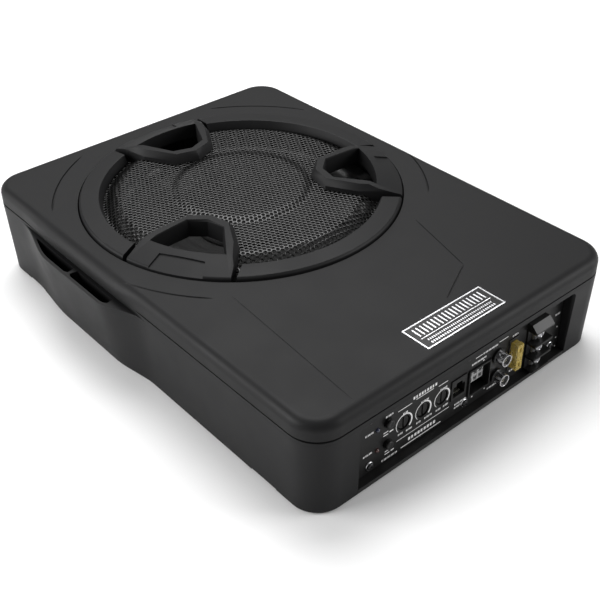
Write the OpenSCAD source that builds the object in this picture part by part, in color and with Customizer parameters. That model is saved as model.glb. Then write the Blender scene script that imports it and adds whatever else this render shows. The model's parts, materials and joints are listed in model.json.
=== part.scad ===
// Powered car subwoofer: a shallow under-seat cabinet with a shallow woofer, a class-D
// amplifier board and a recessed control panel. Millimetres, +Z up. The origin is the middle
// of the footprint on the floor, the long axis is Y and the control panel faces -Y.

/* [Cabinet] */
// Length of the cabinet, from the control panel end to the far end
body_l = 345; // [320:1:420]
// Width of the cabinet, without the side pockets
body_w = 250; // [242:1:310]
// Height of the flat deck above the floor
deck_z = 68; // [67:1:84]
// Radius of the four upright corners
corner_r = 20; // [18:1:26]
// Thickness of the cabinet walls
wall = 3; // [2.5:0.5:4]
// How far each lower wall leans in from its top edge to its foot
draft = 2; // [0.5:0.5:3]
// Height of the cover's skirt, from the deck down to the joint line
skirt_h = 12; // [11:1:16]
// Radius of the rounded top edge of the cover
edge_r = 6; // [3:1:8]
// Gap under the side walls, which the rubber feet make
foot_gap = 1; // [0.5:0.5:2]

/* [Side pockets] */
// How far the pockets stand out from the side walls
pocket_out = 11; // [9:1:14]
// Place along Y where the pockets start to swell, at the panel end
pocket_y0 = -20; // [-40:1:0]
// Place along Y where the pockets have faded out, at the far end
pocket_y1 = 130; // [120:1:140]
// Depth of the open pockets below their rim
pocket_depth = 30; // [20:1:34]
// Thickness of the skin around the pockets
pocket_skin = 2; // [1.5:0.5:3]

/* [Grille] */
// Outer radius of the grille ring
ring_r = 111; // [108:1:114]
// Place of the woofer axis along Y
ring_y = 44; // [36:1:50]
// Width of the grille ring's band
band_w = 16; // [13:1:18]
// Height of the claws above the deck
claw_h = 9; // [6:1:10]
// Thickness of the perforated steel sheet
mesh_t = 0.9; // [0.6:0.1:1.5]

/* [Woofer] */
// Radius of the cone where it meets the surround
cone_r = 78; // [72:1:80]
// Radius of the voice coil former's outside
former_r = 25.5; // [19:0.5:28]
// Radius of the ferrite magnet
magnet_r = 57; // [45:1:60]
// Height of the ferrite magnet
magnet_h = 10; // [8:1:12]
// Travel of the cone each way from rest
cone_travel = 5; // [3:0.5:5]

/* [Control panel] */
// Width of the control panel's recess
panel_w = 182; // [178:1:190]
// Height of the top edge of the recess above the floor
panel_top = 50.5; // [49:0.5:52]
// Depth of the panel behind the end of the cabinet
recess = 7.5; // [7:0.5:10]
// Thickness of the control panel's sheet
panel_t = 3; // [2:0.5:3]
// Height of the three control knobs above the floor
knob_z = 26; // [24:0.5:28]
// Radius of the control knobs
knob_r = 4.6; // [3.5:0.1:5]
// Travel of the two push switches
push_travel = 1.5; // [1:0.5:2]

/* [Fasteners and fits] */
// Radius of the bracket inserts' threaded bores
insert_r = 2.5; // [2:0.5:3]
// Distance between the bracket inserts across the cabinet
insert_span_x = 222; // [200:1:224]
// Distance between the bracket inserts along the cabinet
insert_span_y = 254; // [230:1:270]
// Radius of the case screws' shanks
case_screw_r = 2; // [1.5:0.25:2.5]
// Clearance around pieces that turn or slide
run_gap = 0.3; // [0.2:0.05:0.5]
// Clearance around pieces that are fixed in a window or a seat
seat_gap = 0.2; // [0.1:0.05:0.3]

/* [Hidden] */
$fn = 64;
eps = 0.01;                       // thickness of the slices that a hull joins
over = 1;                         // how far a cutter runs past the face it cuts
thread_gap = 0.05;                // radial gap between a screw's shank and its hole
hull_fn = 32;                     // arc steps of shapes that a hull joins

// Heights
parting_z = deck_z - skirt_h;     // joint line between the cover and the side frame
gasket_t = 1;                     // seal in the joint line
frame_top = parting_z - gasket_t;
plate_z = 1.5;                    // underside of the base plate
plate_t = 3;
plate_top = plate_z + plate_t;
deck_t = 3;
rim_drop = 3;                     // pocket rims sit this far under the joint line
rim_z = parting_z - rim_drop;

// Grille and woofer seat
well_gap = 0.8;                   // shadow gap round the grille ring
well_r = ring_r + well_gap;
well_wall = 2.5;
ledge_z = deck_z - 22;            // seat of the woofer flange
ledge_t = 3;
roll_r = 6.5;                     // radius of the surround's half roll
roll_mid_r = cone_r + roll_r;
flange_in_r = cone_r + 2 * roll_r + 1;
flange_out_r = flange_in_r + 12;
cutout_r = flange_in_r + 3;       // hole through the seat
skirt_t = 4;                      // wall of the grille ring's skirt
mesh_r = ring_r - band_w + 1.5;   // edge of the steel sheet, held under the band
mesh_rim_z = deck_z - 3.5;
mesh_field_z = mesh_rim_z + 6;
mesh_crown_z = mesh_field_z + 1.5;
crown_r = 46;
claw_top = deck_z + claw_h;
claw_angles = [90, 210, 330];
claw_foot_half = 36.8;

// Woofer stack, counted up from the underside of the yoke
yoke_t = 5;
yoke_z = deck_z - 62.5;           // underside of the yoke
yoke_top = yoke_z + yoke_t;
magnet_top = yoke_top + magnet_h;
top_plate_t = 5;
gap_z = magnet_top + top_plate_t; // top of the front plate
former_t = 0.4;
coil_t = 1;
pole_r = former_r - former_t - 0.8;
coil_h = 12;
coil_mid = magnet_top + top_plate_t / 2;
coil_z = coil_mid - coil_h / 2;
plate_in_r = former_r + coil_t + 0.8;
flange_z = ledge_z + gasket_t;    // underside of the basket's flange
flange_t = 2;
flange_top = flange_z + flange_t;
neck_z = gap_z + cone_travel + 7; // where the cone meets the former
cone_t = 1.2;
cone_edge_z = flange_top + 0.6;
spider_z = gap_z + cone_travel + 3;
spider_t = 0.8;
spider_r = 56;
cap_r = 34;
cap_h = 8;
screw_ring_r = flange_out_r - 4.5;
seat_t = 2;                       // floor of the basket
tag_r = 70;                       // place of the basket's tag strip
lead_r = 1.1;                     // radius of each speaker wire

// Places of the pieces
post_x = body_w / 2 - 13;
post_y = body_l / 2 - 12.5;
post_r = 4.5;
posts = [for (sx = [-1, 1]) for (y = [-post_y, post_y, -60]) [sx * post_x, y]];
feet = [for (sx = [-1, 1]) for (sy = [-1, 1]) [sx * (body_w / 2 - 35), sy * (body_l / 2 - 22)]];
inserts = [for (sx = [-1, 1]) for (sy = [-1, 1]) [sx * insert_span_x / 2, sy * insert_span_y / 2]];
insert_boss_r = insert_r + 2.5;
insert_h = 9;
foot_r = 8;
foot_seat = 0.8;                  // how far a foot is let into the base plate

// Control panel layout: x and z on the panel's face
end_y = -body_l / 2;              // end of the cabinet that the panel is in
face_y = end_y + recess;          // front face of the control panel
back_y = face_y + panel_t;
frame_t = 2.5;                    // wall round the recess
sill_z = plate_top + 0.5;
panel_z0 = sill_z;
pot_x = [-50.7, -35.1, -19.4];
button_x = -64;
button_z = [34.5, 18.5];
button_r = 2.9;
led_x = -71.8;
led_z = [33.6, 18.2];
led_r = 1.4;
top_screw_z = 45.4;
low_screw_z = 10;
panel_screw_r = 1.5;
panel_screws_top = [-78.6, 1, 83.2];
panel_screws_low = [-77.6, 1, 82.4];
lug = 5.2;                        // width of the lugs that take the panel screws
jack_x = 29.2;
jack_z = [31, 15.5];
jack_r = 4.15;
jack_bush_r = 5;
jack_screw = [35.8, 26.6];
fuse_x = 43.6;
fuse_z = 25;
fuse_w = 5.1;
fuse_h = 19.1;
block_x = 65;
block_w = 17;
block_z0 = 5.5;
block_z1 = 41;
clamp_pitch = 10.3;
clamp_z = [for (i = [-1, 0, 1]) 20.8 + i * clamp_pitch];
clamp_cell = 8.6;
clamp_screw_r = 2;

// Sockets and the fuse holder in the panel
rj_x0 = -12;
rj_z0 = 18.5;
rj_w = 13;
rj_h = 15;
high_x0 = 3;
high_z0 = 12.8;
high_w = 19.6;
high_h = 20;
high_floor = 10.8;                // depth of the socket's floor behind the panel's face
holder_w = 8.4;
holder_h = 24;

// Badge plate, let into the deck near the panel's end
badge_w = 65;
badge_l = 21;
badge_t = 1.2;
badge_seat = 0.6;
badge_y = end_y + 19.5;

// Circuit board
board_z = 9;
board_t = 1.6;
board_top = board_z + board_t;
board_y0 = back_y + 4;
board_y1 = board_y0 + 66;
board_w = 208;
board_holes = [for (sx = [-1, 1]) for (y = [board_y0 + 5, board_y1 - 5]) [sx * (board_w / 2 - 5), y]];
sink_y = board_y1 + 1.5;

body_col = [0.16, 0.16, 0.165];
black = [0.07, 0.07, 0.075];
steel = [0.72, 0.72, 0.74];

// ---------------------------------------------------------------- helpers

// Rectangle with round corners, centred.
module rounded(w, l, r) {
    square([w - 2 * r, l], center = true);
    square([w, l - 2 * r], center = true);
    for (sx = [-1, 1])
        for (sy = [-1, 1])
            translate([sx * (w / 2 - r), sy * (l / 2 - r)])
                circle(r);
}

// Thin slice of the cabinet's outline, shrunk by inset, for a hull to join.
module slice(z, inset) {
    translate([0, 0, z])
        linear_extrude(eps)
            rounded(body_w - 2 * inset, body_l - 2 * inset, corner_r - inset);
}

// Rises smoothly from 0 to 1 as t goes from 0 to 1.
function smooth(t) = let (u = min(1, max(0, t))) u * u * (3 - 2 * u);

// How far a side pocket stands out at y.
function swell(y) = pocket_out * smooth((y - pocket_y0) / 38) * smooth((pocket_y1 - y) / 52);

foot_share = 0.4;                 // swelling at the foot, as a share of the swelling at the rim

// Half outline of a pocket in X and Y, scaled by k and shrunk by inset.
function pocket_outline(k, inset) = concat(
    [[body_w / 2 - 12, pocket_y0]],
    [for (y = [pocket_y0 : 7.5 : pocket_y1]) [body_w / 2 - inset + k * swell(y), y]],
    [[body_w / 2 - 12, pocket_y1]]);

// Draws its children and their mirror image across the cabinet.
module both_sides() {
    children();
    mirror([1, 0, 0])
        children();
}

// Upright tube.
module tube(r_out, r_in, z, h) {
    translate([0, 0, z])
        difference() {
            cylinder(r = r_out, h = h);
            translate([0, 0, -over])
                cylinder(r = r_in, h = h + 2 * over);
        }
}

// Moves its children to the woofer's axis.
module on_woofer() {
    translate([0, ring_y, 0])
        children();
}

// Cylinder that lies along Y, from y0 towards +Y, at x and z.
module along_y(x, z, y0, r, len) {
    translate([x, y0, z])
        rotate([-90, 0, 0])
            cylinder(r = r, h = len);
}

// Box given by its lowest corner and its size.
module box(x, y, z, size) {
    translate([x, y, z])
        cube(size);
}

// Pan-head screw with a hexagonal socket, its head's seat at the origin and its shank down -Z.
module socket_screw(r, len, head_r, head_h) {
    difference() {
        cylinder(r = head_r, h = head_h);
        translate([0, 0, head_h * 0.35])
            cylinder(r = r * 0.85, h = head_h, $fn = 6);
    }
    translate([0, 0, -len])
        cylinder(r = r, h = len);
}

// Screw that faces the panel's user: its head is on the -Y side of y.
module panel_screw(x, z, y, len) {
    translate([x, y, z])
        rotate([90, 0, 0])
            socket_screw(panel_screw_r, len, 2.8, 2);
}

// Outline of a claw: u runs out from the woofer's axis and v across.
module claw_outline(grow = 0) {
    intersection() {
        offset(delta = grow)
            polygon([
                [ring_r + 5, -claw_foot_half], [76, -29.5], [55.5, -17.5], [48.5, 0],
                [55.5, 17.5], [76, 29.5], [ring_r + 5, claw_foot_half]
            ]);
        circle(ring_r - 1 + grow, $fn = 128);
    }
}

// Finger opening in a claw.
module claw_hole() {
    intersection() {
        polygon([[98, -30.6], [62.3, -12.3], [58.2, 0], [62.3, 12.3], [98, 30.6]]);
        circle(ring_r - band_w - 2, $fn = 128);
    }
}

// Everything above the slope of a claw's base, which falls from the claw's top to the rim.
module above_slope(drop) {
    rotate([0, 0, -30])
        rotate_extrude(angle = 60, $fn = 128)
            polygon([
                [88, claw_top - drop], [ring_r + over, deck_z + 1.6 - drop],
                [ring_r + over, claw_top + over], [88, claw_top + over]
            ]);
}

// ---------------------------------------------------------------- cabinet

// Block with round upright corners and a rounded top edge: a hull round its four corner posts.
module cover_solid() {
    edge_mid_z = deck_z - edge_r;
    hull()
        for (sx = [-1, 1])
            for (sy = [-1, 1])
                translate([sx * (body_w / 2 - corner_r), sy * (body_l / 2 - corner_r)])
                    rotate_extrude($fn = hull_fn)
                        polygon([
                            [0, parting_z], [corner_r, parting_z],
                            for (a = [0 : 30 : 90])
                                [corner_r - edge_r * (1 - cos(a)), edge_mid_z + edge_r * sin(a)],
                            [0, deck_z]
                        ]);
}

// Slight swelling of the cover's skirt over the side pockets.
module cover_brow() {
    brow = 2;
    span = pocket_y1 - pocket_y0;
    both_sides()
        translate([0, 0, parting_z])
            linear_extrude(skirt_h - edge_r)
                polygon([
                    [body_w / 2 - wall, pocket_y0], [body_w / 2, pocket_y0],
                    [body_w / 2 + brow, pocket_y0 + span * 0.22],
                    [body_w / 2 + brow, pocket_y0 + span * 0.64],
                    [body_w / 2, pocket_y1], [body_w / 2 - wall, pocket_y1]
                ]);
}

// Shallow groove along a line on the deck.
module crease(from, to) {
    run = to - from;
    translate([from.x, from.y, deck_z - 0.6])
        rotate([0, 0, atan2(run.y, run.x)])
            translate([0, -0.4, 0])
                cube([norm(run), 0.8, over]);
}

module deck_lines() {
    for (span = [[28, 64], [116, 152], [189, 225], [315, 351]])
        on_woofer()
            rotate([0, 0, span[0]])
                rotate_extrude(angle = span[1] - span[0])
                    translate([ring_r + 17, deck_z - 0.8])
                        square([1.2, over + 0.8]);
    crease([-82.5, ring_y - 95.5], [-91.5, end_y + edge_r]);
    crease([59.6, ring_y - 108.4], [43.7, ring_y - 165]);
    crease([43.7, ring_y - 165], [10.4, ring_y - 181.8]);
}

module top_cover() {
    cavity_w = body_w - 2 * wall;
    cavity_l = body_l - 2 * wall;
    upper_inset = edge_r - 1;
    color(body_col)
        difference() {
            union() {
                difference() {
                    union() {
                        cover_solid();
                        cover_brow();
                    }
                    translate([0, 0, parting_z - over])
                        linear_extrude(skirt_h - edge_r + over)
                            rounded(cavity_w, cavity_l, corner_r - wall);
                    translate([0, 0, parting_z])
                        linear_extrude(skirt_h - deck_t)
                            rounded(
                                cavity_w - 2 * upper_inset, cavity_l - 2 * upper_inset,
                                corner_r - wall - upper_inset);
                }
                on_woofer()
                    translate([0, 0, ledge_z - ledge_t])
                        cylinder(r = well_r + well_wall, h = deck_z - deck_t / 2 - ledge_z + ledge_t);
                for (p = posts)
                    translate([p.x, p.y, parting_z])
                        cylinder(r = post_r, h = skirt_h - deck_t / 2);
            }
            on_woofer() {
                translate([0, 0, ledge_z])
                    cylinder(r = well_r, h = deck_z);
                translate([0, 0, ledge_z - ledge_t - over])
                    cylinder(r = cutout_r, h = deck_z);
                for (i = [0 : 7])
                    rotate([0, 0, 22.5 + 45 * i])
                        translate([screw_ring_r, 0, ledge_z - ledge_t - over])
                            cylinder(r = 1.5 + thread_gap, h = ledge_t + 2 * over);
                for (i = [0 : 5])
                    rotate([0, 0, 60 * i])
                        translate([ring_r - skirt_t / 2, 0, ledge_z - ledge_t - over])
                            cylinder(r = 1 + thread_gap, h = ledge_t + 2 * over);
            }
            for (p = posts)
                translate([p.x, p.y, parting_z - over])
                    cylinder(r = case_screw_r + thread_gap, h = over + skirt_h - deck_t - 0.5);
            deck_lines();
            translate([0, badge_y, deck_z - badge_seat + over])
                cube([badge_w + 2 * seat_gap, badge_l + 2 * seat_gap, 2 * over], center = true);
        }
}

// How far the leaning wall stands inside its top edge at height z.
function lean(z) = draft * (frame_top - z) / (frame_top - foot_gap);

// The leaning block of the side frame between two heights, shrunk by inset.
module tub(z0, z1, inset) {
    hull() {
        slice(z0, inset + lean(z0), $fn = hull_fn);
        slice(z1 - eps, inset + lean(z1), $fn = hull_fn);
    }
}

// Solid of one side pocket.
module pocket_solid() {
    hull() {
        translate([0, 0, foot_gap])
            linear_extrude(eps)
                polygon(pocket_outline(foot_share, draft));
        translate([0, 0, rim_z - eps])
            linear_extrude(eps)
                polygon(pocket_outline(1, 0));
    }
}

// Open cells of one side pocket, with a rib between them. They lean in with the skin.
module pocket_cells() {
    cell_in = 2.6;
    rib_y = 55;
    rib = 2.5;
    skin_lean = atan2(pocket_out * (1 - foot_share) + draft, rim_z - foot_gap);
    for (ends = [[pocket_y0 + 31, rib_y - rib / 2], [rib_y + rib / 2, pocket_y1 - 25]])
        translate([body_w / 2, 0, rim_z])
            rotate([0, skin_lean, 0])
                translate([0, 0, -pocket_depth])
                    linear_extrude(pocket_depth + over)
                        polygon([
                            [cell_in, ends[0]],
                            for (k = [0 : 6])
                                let (y = ends[0] + (ends[1] - ends[0]) * k / 6)
                                    [max(cell_in + 0.5, swell(y) - pocket_skin), y],
                            [cell_in, ends[1]]
                        ]);
}

// Frame round the control panel's recess.
module recess_frame() {
    depth = recess + panel_t;
    difference() {
        box(
            -panel_w / 2 - frame_t, end_y + draft, plate_top,
            [panel_w + 2 * frame_t, depth - draft, panel_top + frame_t - plate_top]);
        box(-panel_w / 2, end_y - over, -over, [panel_w, depth + 2 * over, panel_top + over]);
    }
    for (x = panel_screws_top)
        difference() {
            box(
                x - lug / 2, back_y, top_screw_z - lug / 2,
                [lug, 4, panel_top + frame_t - top_screw_z + lug / 2]);
            along_y(x, top_screw_z, back_y - over, panel_screw_r + thread_gap, 7);
        }
}

module side_frame() {
    rib_run = body_w / 2 - wall - 0.5 - post_x;
    notch_w = 22;
    notch_h = 1.2;
    color(body_col)
        difference() {
            union() {
                difference() {
                    union() {
                        tub(foot_gap, frame_top, 0);
                        both_sides()
                            pocket_solid();
                    }
                    difference() {
                        tub(foot_gap - over, frame_top + over, wall);
                        // keeps the wall straight and thicker behind the pockets
                        both_sides()
                            box(
                                body_w / 2 - wall - draft, pocket_y0, plate_top,
                                [2 * wall, pocket_y1 - pocket_y0, rim_z - plate_top]);
                    }
                    box(
                        -panel_w / 2, end_y - over, -over,
                        [panel_w, recess + over + 2 * wall, panel_top + over]);
                }
                recess_frame();
                for (p = posts)
                    translate([p.x, p.y, plate_top]) {
                        cylinder(r = post_r, h = frame_top - plate_top);
                        // web between the post and the side wall
                        translate([sign(p.x) * rib_run / 2, 0, (frame_top - plate_top) / 2])
                            cube([rib_run, 2, frame_top - plate_top], center = true);
                    }
            }
            both_sides()
                pocket_cells();
            for (p = posts)
                translate([p.x, p.y, 0])
                    cylinder(r = case_screw_r + seat_gap, h = deck_z);
            for (sx = [-1, 1])
                for (sy = [-1, 1])
                    box(
                        sx * body_w / 2 - 15, sy * insert_span_y / 2 - notch_w / 2, -over,
                        [30, notch_w, foot_gap + notch_h + over]);
        }
}

module base_plate() {
    side_in = wall + draft + seat_gap;
    groove_pitch = 9;
    groove_w = 4;
    groove_d = 1.2;
    color(black)
        difference() {
            union() {
                translate([0, 0, plate_z])
                    linear_extrude(plate_t)
                        rounded(body_w - 2 * side_in, body_l - 2 * side_in, corner_r - side_in);
                box(
                    -panel_w / 2 + seat_gap, end_y + draft, plate_z,
                    [panel_w - 2 * seat_gap, side_in + 5, plate_t]);
                for (x = panel_screws_low)
                    box(
                        x - lug / 2, back_y, plate_top - eps,
                        [lug, 3.5, low_screw_z + lug / 2 - plate_top]);
                for (p = inserts)
                    translate([p.x, p.y, plate_top - eps])
                        cylinder(r = insert_boss_r, h = insert_h + 1 - plate_t);
                for (p = board_holes)
                    translate([p.x, p.y, plate_top - eps])
                        cylinder(r = 3, h = board_z - plate_top + eps);
            }
            for (x = panel_screws_low)
                along_y(x, low_screw_z, back_y - over, panel_screw_r + thread_gap, 6);
            for (p = inserts)
                translate([p.x, p.y, plate_z - over])
                    cylinder(r = insert_r + 1.2, h = insert_h + over);
            for (p = board_holes)
                translate([p.x, p.y, plate_z + over])
                    cylinder(r = 1.25 + thread_gap, h = board_z);
            for (p = posts)
                translate([p.x, p.y, plate_z - over]) {
                    cylinder(r = case_screw_r + seat_gap, h = plate_t + 2 * over);
                    cylinder(r = 4, h = over + 1.7);
                }
            for (p = feet)
                translate([p.x, p.y, plate_z - over])
                    cylinder(r = foot_r + seat_gap, h = over + foot_seat);
            for (i = [-9 : 9])
                box(
                    i * groove_pitch - groove_w / 2, end_y + 35, plate_z - over,
                    [groove_w, 85, over + groove_d]);
        }
}

module housing_gasket() {
    inset = 1.6;
    color([0.03, 0.03, 0.03])
        translate([0, 0, frame_top])
            linear_extrude(gasket_t)
                difference() {
                    rounded(body_w - 2 * inset, body_l - 2 * inset, corner_r - inset);
                    rounded(body_w - 2 * wall, body_l - 2 * wall, corner_r - wall);
                }
}

module rubber_feet() {
    color([0.05, 0.05, 0.05])
        for (p = feet)
            translate([p.x, p.y, 0])
                cylinder(r = foot_r, h = plate_z + foot_seat);
}

// Six long screws that run up from the base plate into the cover's posts.
module case_screws() {
    head_z = plate_z + 1.7;
    tip_z = parting_z + 7;
    color(steel)
        for (p = posts)
            translate([p.x, p.y, head_z])
                mirror([0, 0, 1])
                    socket_screw(case_screw_r, tip_z - head_z, 3.6, 1.6);
}

module bracket_inserts() {
    color([0.78, 0.66, 0.36])
        for (p = inserts)
            translate([p.x, p.y, 0])
                tube(insert_r + 1.2, insert_r, plate_z, insert_h);
}

module badge_plate() {
    color([0.66, 0.66, 0.68])
        translate([0, badge_y, deck_z - badge_seat])
            difference() {
                translate([0, 0, badge_t / 2])
                    cube([badge_w, badge_l, badge_t], center = true);
                translate([0, 0, badge_t])
                    cube([badge_w - 3, badge_l - 3, 0.6], center = true);
            }
}

// ---------------------------------------------------------------- grille

module grille_ring() {
    claw_step = 1;
    bevel = 1.5;
    lip = 1;
    band_in = ring_r - band_w;
    rim_top = deck_z + lip + bevel;
    color(body_col)
        on_woofer()
            difference() {
                union() {
                    rotate_extrude($fn = 128)
                        polygon([
                            [ring_r - skirt_t, ledge_z], [ring_r, ledge_z], [ring_r, deck_z + lip],
                            [ring_r - bevel, rim_top], [band_in + 3, deck_z + 3.6],
                            [band_in, deck_z - 2], [band_in, mesh_rim_z],
                            [mesh_r + seat_gap, mesh_rim_z], [mesh_r + seat_gap, mesh_rim_z - 2],
                            [mesh_r + seat_gap + 2.5, mesh_rim_z - 2],
                            [mesh_r + seat_gap + 2.5, deck_z - 1], [ring_r - skirt_t, deck_z - 1]
                        ]);
                    for (a = claw_angles)
                        rotate([0, 0, a])
                            translate([0, 0, mesh_rim_z])
                                linear_extrude(claw_top - mesh_rim_z)
                                    claw_outline();
                }
                for (a = claw_angles)
                    rotate([0, 0, a]) {
                        translate([0, 0, ledge_z])
                            linear_extrude(claw_h + deck_z)
                                claw_hole();
                        above_slope(0);
                        // trapezoid step on the claw's base, parallel to its slope
                        intersection() {
                            above_slope(claw_step);
                            linear_extrude(claw_top + over)
                                polygon([
                                    [98, -15.5], [ring_r + over, -19], [ring_r + over, 19],
                                    [98, 15.5]
                                ]);
                        }
                        // wedge notches along both sides of the claw's base
                        for (s = [-1, 1])
                            translate([0, 0, deck_z - 6])
                                linear_extrude(claw_h + 8)
                                    polygon([
                                        [88, s * 31.7], [ring_r + 2, s * 36.3],
                                        [ring_r + 2, s * 39.3], [88, s * 36.7]
                                    ]);
                    }
                for (i = [0 : 5])
                    rotate([0, 0, 60 * i])
                        translate([ring_r - skirt_t / 2, 0, ledge_z - over])
                            cylinder(r = 1 + thread_gap, h = 7);
            }
}

module grille_mesh() {
    color([0.12, 0.12, 0.125])
        on_woofer()
            difference() {
                rotate_extrude($fn = 128)
                    polygon([
                        [0, mesh_crown_z - mesh_t], [crown_r - 4, mesh_crown_z - mesh_t],
                        [crown_r + 3, mesh_field_z - mesh_t], [mesh_r - 14, mesh_field_z - mesh_t],
                        [mesh_r - 2.4, mesh_rim_z - mesh_t], [mesh_r, mesh_rim_z - mesh_t],
                        [mesh_r, mesh_rim_z], [mesh_r - 2, mesh_rim_z],
                        [mesh_r - 13.6, mesh_field_z], [crown_r + 3.4, mesh_field_z],
                        [crown_r - 3.6, mesh_crown_z], [0, mesh_crown_z]
                    ]);
                for (a = claw_angles)
                    rotate([0, 0, a])
                        translate([0, 0, ledge_z])
                            linear_extrude(claw_h + deck_z)
                                claw_outline(grow = 0.6);
            }
}

// Self-tapping screws that come up through the seat into the ring's skirt.
module grille_screws() {
    color(steel)
        on_woofer()
            for (i = [0 : 5])
                rotate([0, 0, 60 * i])
                    translate([ring_r - skirt_t / 2, 0, ledge_z - ledge_t])
                        mirror([0, 0, 1])
                            socket_screw(1, ledge_t + 6, 2, 1.3);
}

// ---------------------------------------------------------------- woofer

module woofer_basket() {
    spoke_in = 64;
    color([0.1, 0.1, 0.1])
        on_woofer()
            difference() {
                union() {
                    box(-10, -tag_r, gap_z, [20, tag_r - spider_r + 4, seat_t]);
                    basket_shell();
                }
                for (i = [0 : 5])
                    rotate([0, 0, 60 * i + 10])
                        translate([0, 0, gap_z + seat_t])
                            rotate_extrude(angle = 40)
                                translate([spoke_in, 0])
                                    square([flange_in_r - 5 - spoke_in, flange_z - gap_z]);
                for (i = [0 : 7])
                    rotate([0, 0, 22.5 + 45 * i])
                        translate([screw_ring_r, 0, flange_z - over])
                            cylinder(r = 1.5 + seat_gap, h = flange_t + 2 * over);
            }
}

// Pressed steel bowl of the basket: floor, spider seat, cone-shaped wall and flange.
module basket_shell() {
    rotate_extrude()
        polygon([
            [plate_in_r + 3, gap_z], [spider_r - 1, gap_z], [flange_in_r - 2, flange_z - 3],
            [flange_in_r, flange_z], [flange_out_r, flange_z], [flange_out_r, flange_top],
            [flange_in_r - 2, flange_top], [flange_in_r - 4, flange_z - 1],
            [spider_r + 6, spider_z - spider_t], [spider_r - 2, spider_z - spider_t],
            [spider_r - 2, gap_z + seat_t], [plate_in_r + 3, gap_z + seat_t]
        ]);
}

module woofer_gasket() {
    color([0.05, 0.05, 0.05])
        on_woofer()
            difference() {
                tube(flange_out_r, cutout_r, ledge_z, gasket_t);
                for (i = [0 : 7])
                    rotate([0, 0, 22.5 + 45 * i])
                        translate([screw_ring_r, 0, ledge_z - over])
                            cylinder(r = 1.5 + seat_gap, h = gasket_t + 2 * over);
            }
}

module woofer_screws() {
    color(steel)
        on_woofer()
            for (i = [0 : 7])
                rotate([0, 0, 22.5 + 45 * i])
                    translate([screw_ring_r, 0, flange_top])
                        socket_screw(1.5, flange_t + gasket_t + ledge_t, 2.8, 1.8);
}

// Rubber half roll between the cone and the basket's flange.
module surround() {
    skin = 1;
    color([0.05, 0.05, 0.055])
        on_woofer()
            rotate_extrude() {
                translate([roll_mid_r, flange_top])
                    intersection() {
                        difference() {
                            circle(roll_r);
                            circle(roll_r - skin);
                        }
                        translate([-roll_r - over, 0])
                            square([2 * roll_r + 2 * over, roll_r + over]);
                    }
                translate([roll_mid_r + roll_r - skin, flange_top])
                    square([skin + 3, skin]);
            }
}

module cone() {
    color([0.09, 0.09, 0.095])
        on_woofer()
            rotate_extrude()
                polygon([
                    [former_r, neck_z], [cone_r - 3, cone_edge_z - cone_t],
                    [cone_r - 0.2, cone_edge_z - cone_t], [cone_r - 0.2, cone_edge_z],
                    [cone_r - 3.4, cone_edge_z], [former_r, neck_z + cone_t]
                ]);
}

// Height of the cone's upper face at radius r.
function cone_face(r) =
    let (rise = cone_edge_z - neck_z - cone_t, run = cone_r - 3.4 - former_r)
        neck_z + cone_t + rise * (r - former_r) / run;

module dust_cap() {
    cap_z = cone_face(cap_r);
    sphere_r = (cap_r * cap_r + cap_h * cap_h) / (2 * cap_h);
    color([0.1, 0.1, 0.105])
        on_woofer()
            translate([0, 0, cap_z + cap_h - sphere_r])
                rotate_extrude()
                    intersection() {
                        difference() {
                            circle(sphere_r);
                            circle(sphere_r - 1);
                        }
                        translate([0, sphere_r - cap_h])
                            square([cap_r, cap_h + over]);
                    }
}

module coil_former() {
    color([0.75, 0.6, 0.3])
        on_woofer()
            tube(former_r, former_r - former_t, coil_z, neck_z + cone_t - coil_z);
}

module voice_coil() {
    color([0.72, 0.42, 0.22])
        on_woofer()
            tube(former_r + coil_t, former_r, coil_z, coil_h);
}

// Corrugated cloth disc that centres the coil.
module spider() {
    pitch = 6;
    wave = 1.2;
    steps = [former_r + pitch / 4 : pitch / 4 : spider_r - 4];
    upper = [for (r = steps) [r, spider_z + wave * sin(360 * (r - former_r) / pitch)]];
    lower = [for (i = [len(upper) - 1 : -1 : 0]) [upper[i].x, upper[i].y - spider_t]];
    color([0.75, 0.62, 0.3])
        on_woofer()
            rotate_extrude()
                polygon(concat(
                    [[former_r, spider_z]], upper, [[spider_r + 4, spider_z]],
                    [[spider_r + 4, spider_z - spider_t]], lower, [[former_r, spider_z - spider_t]]));
}

module top_plate() {
    color(steel)
        on_woofer()
            tube(magnet_r - 4, plate_in_r, magnet_top, top_plate_t);
}

module magnet() {
    color([0.2, 0.2, 0.21])
        on_woofer()
            tube(magnet_r, plate_in_r + 4, yoke_top, magnet_h);
}

module pole_yoke() {
    vent_r = 10;
    color(steel)
        on_woofer()
            difference() {
                union() {
                    translate([0, 0, yoke_z])
                        cylinder(r = magnet_r - 4, h = yoke_t);
                    translate([0, 0, yoke_z])
                        cylinder(r = pole_r, h = gap_z - yoke_z);
                }
                translate([0, 0, yoke_z - over])
                    cylinder(r = vent_r, h = gap_z);
            }
}

module magnet_pad() {
    color([0.04, 0.04, 0.04])
        on_woofer()
            tube(magnet_r - 8, 14, plate_top, yoke_z - plate_top);
}

// Tag strip that takes the amplifier's lead on the basket's spider seat.
module speaker_terminals() {
    color([0.8, 0.65, 0.3])
        on_woofer()
            difference() {
                box(-9, -tag_r + 1, gap_z + seat_t, [18, 3, 7]);
                for (sx = [-1, 1])
                    translate([sx * 5, -tag_r, gap_z + seat_t + 3.5])
                        rotate([-90, 0, 0])
                            cylinder(r = lead_r + thread_gap, h = 5);
            }
}

// ---------------------------------------------------------------- control panel

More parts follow.
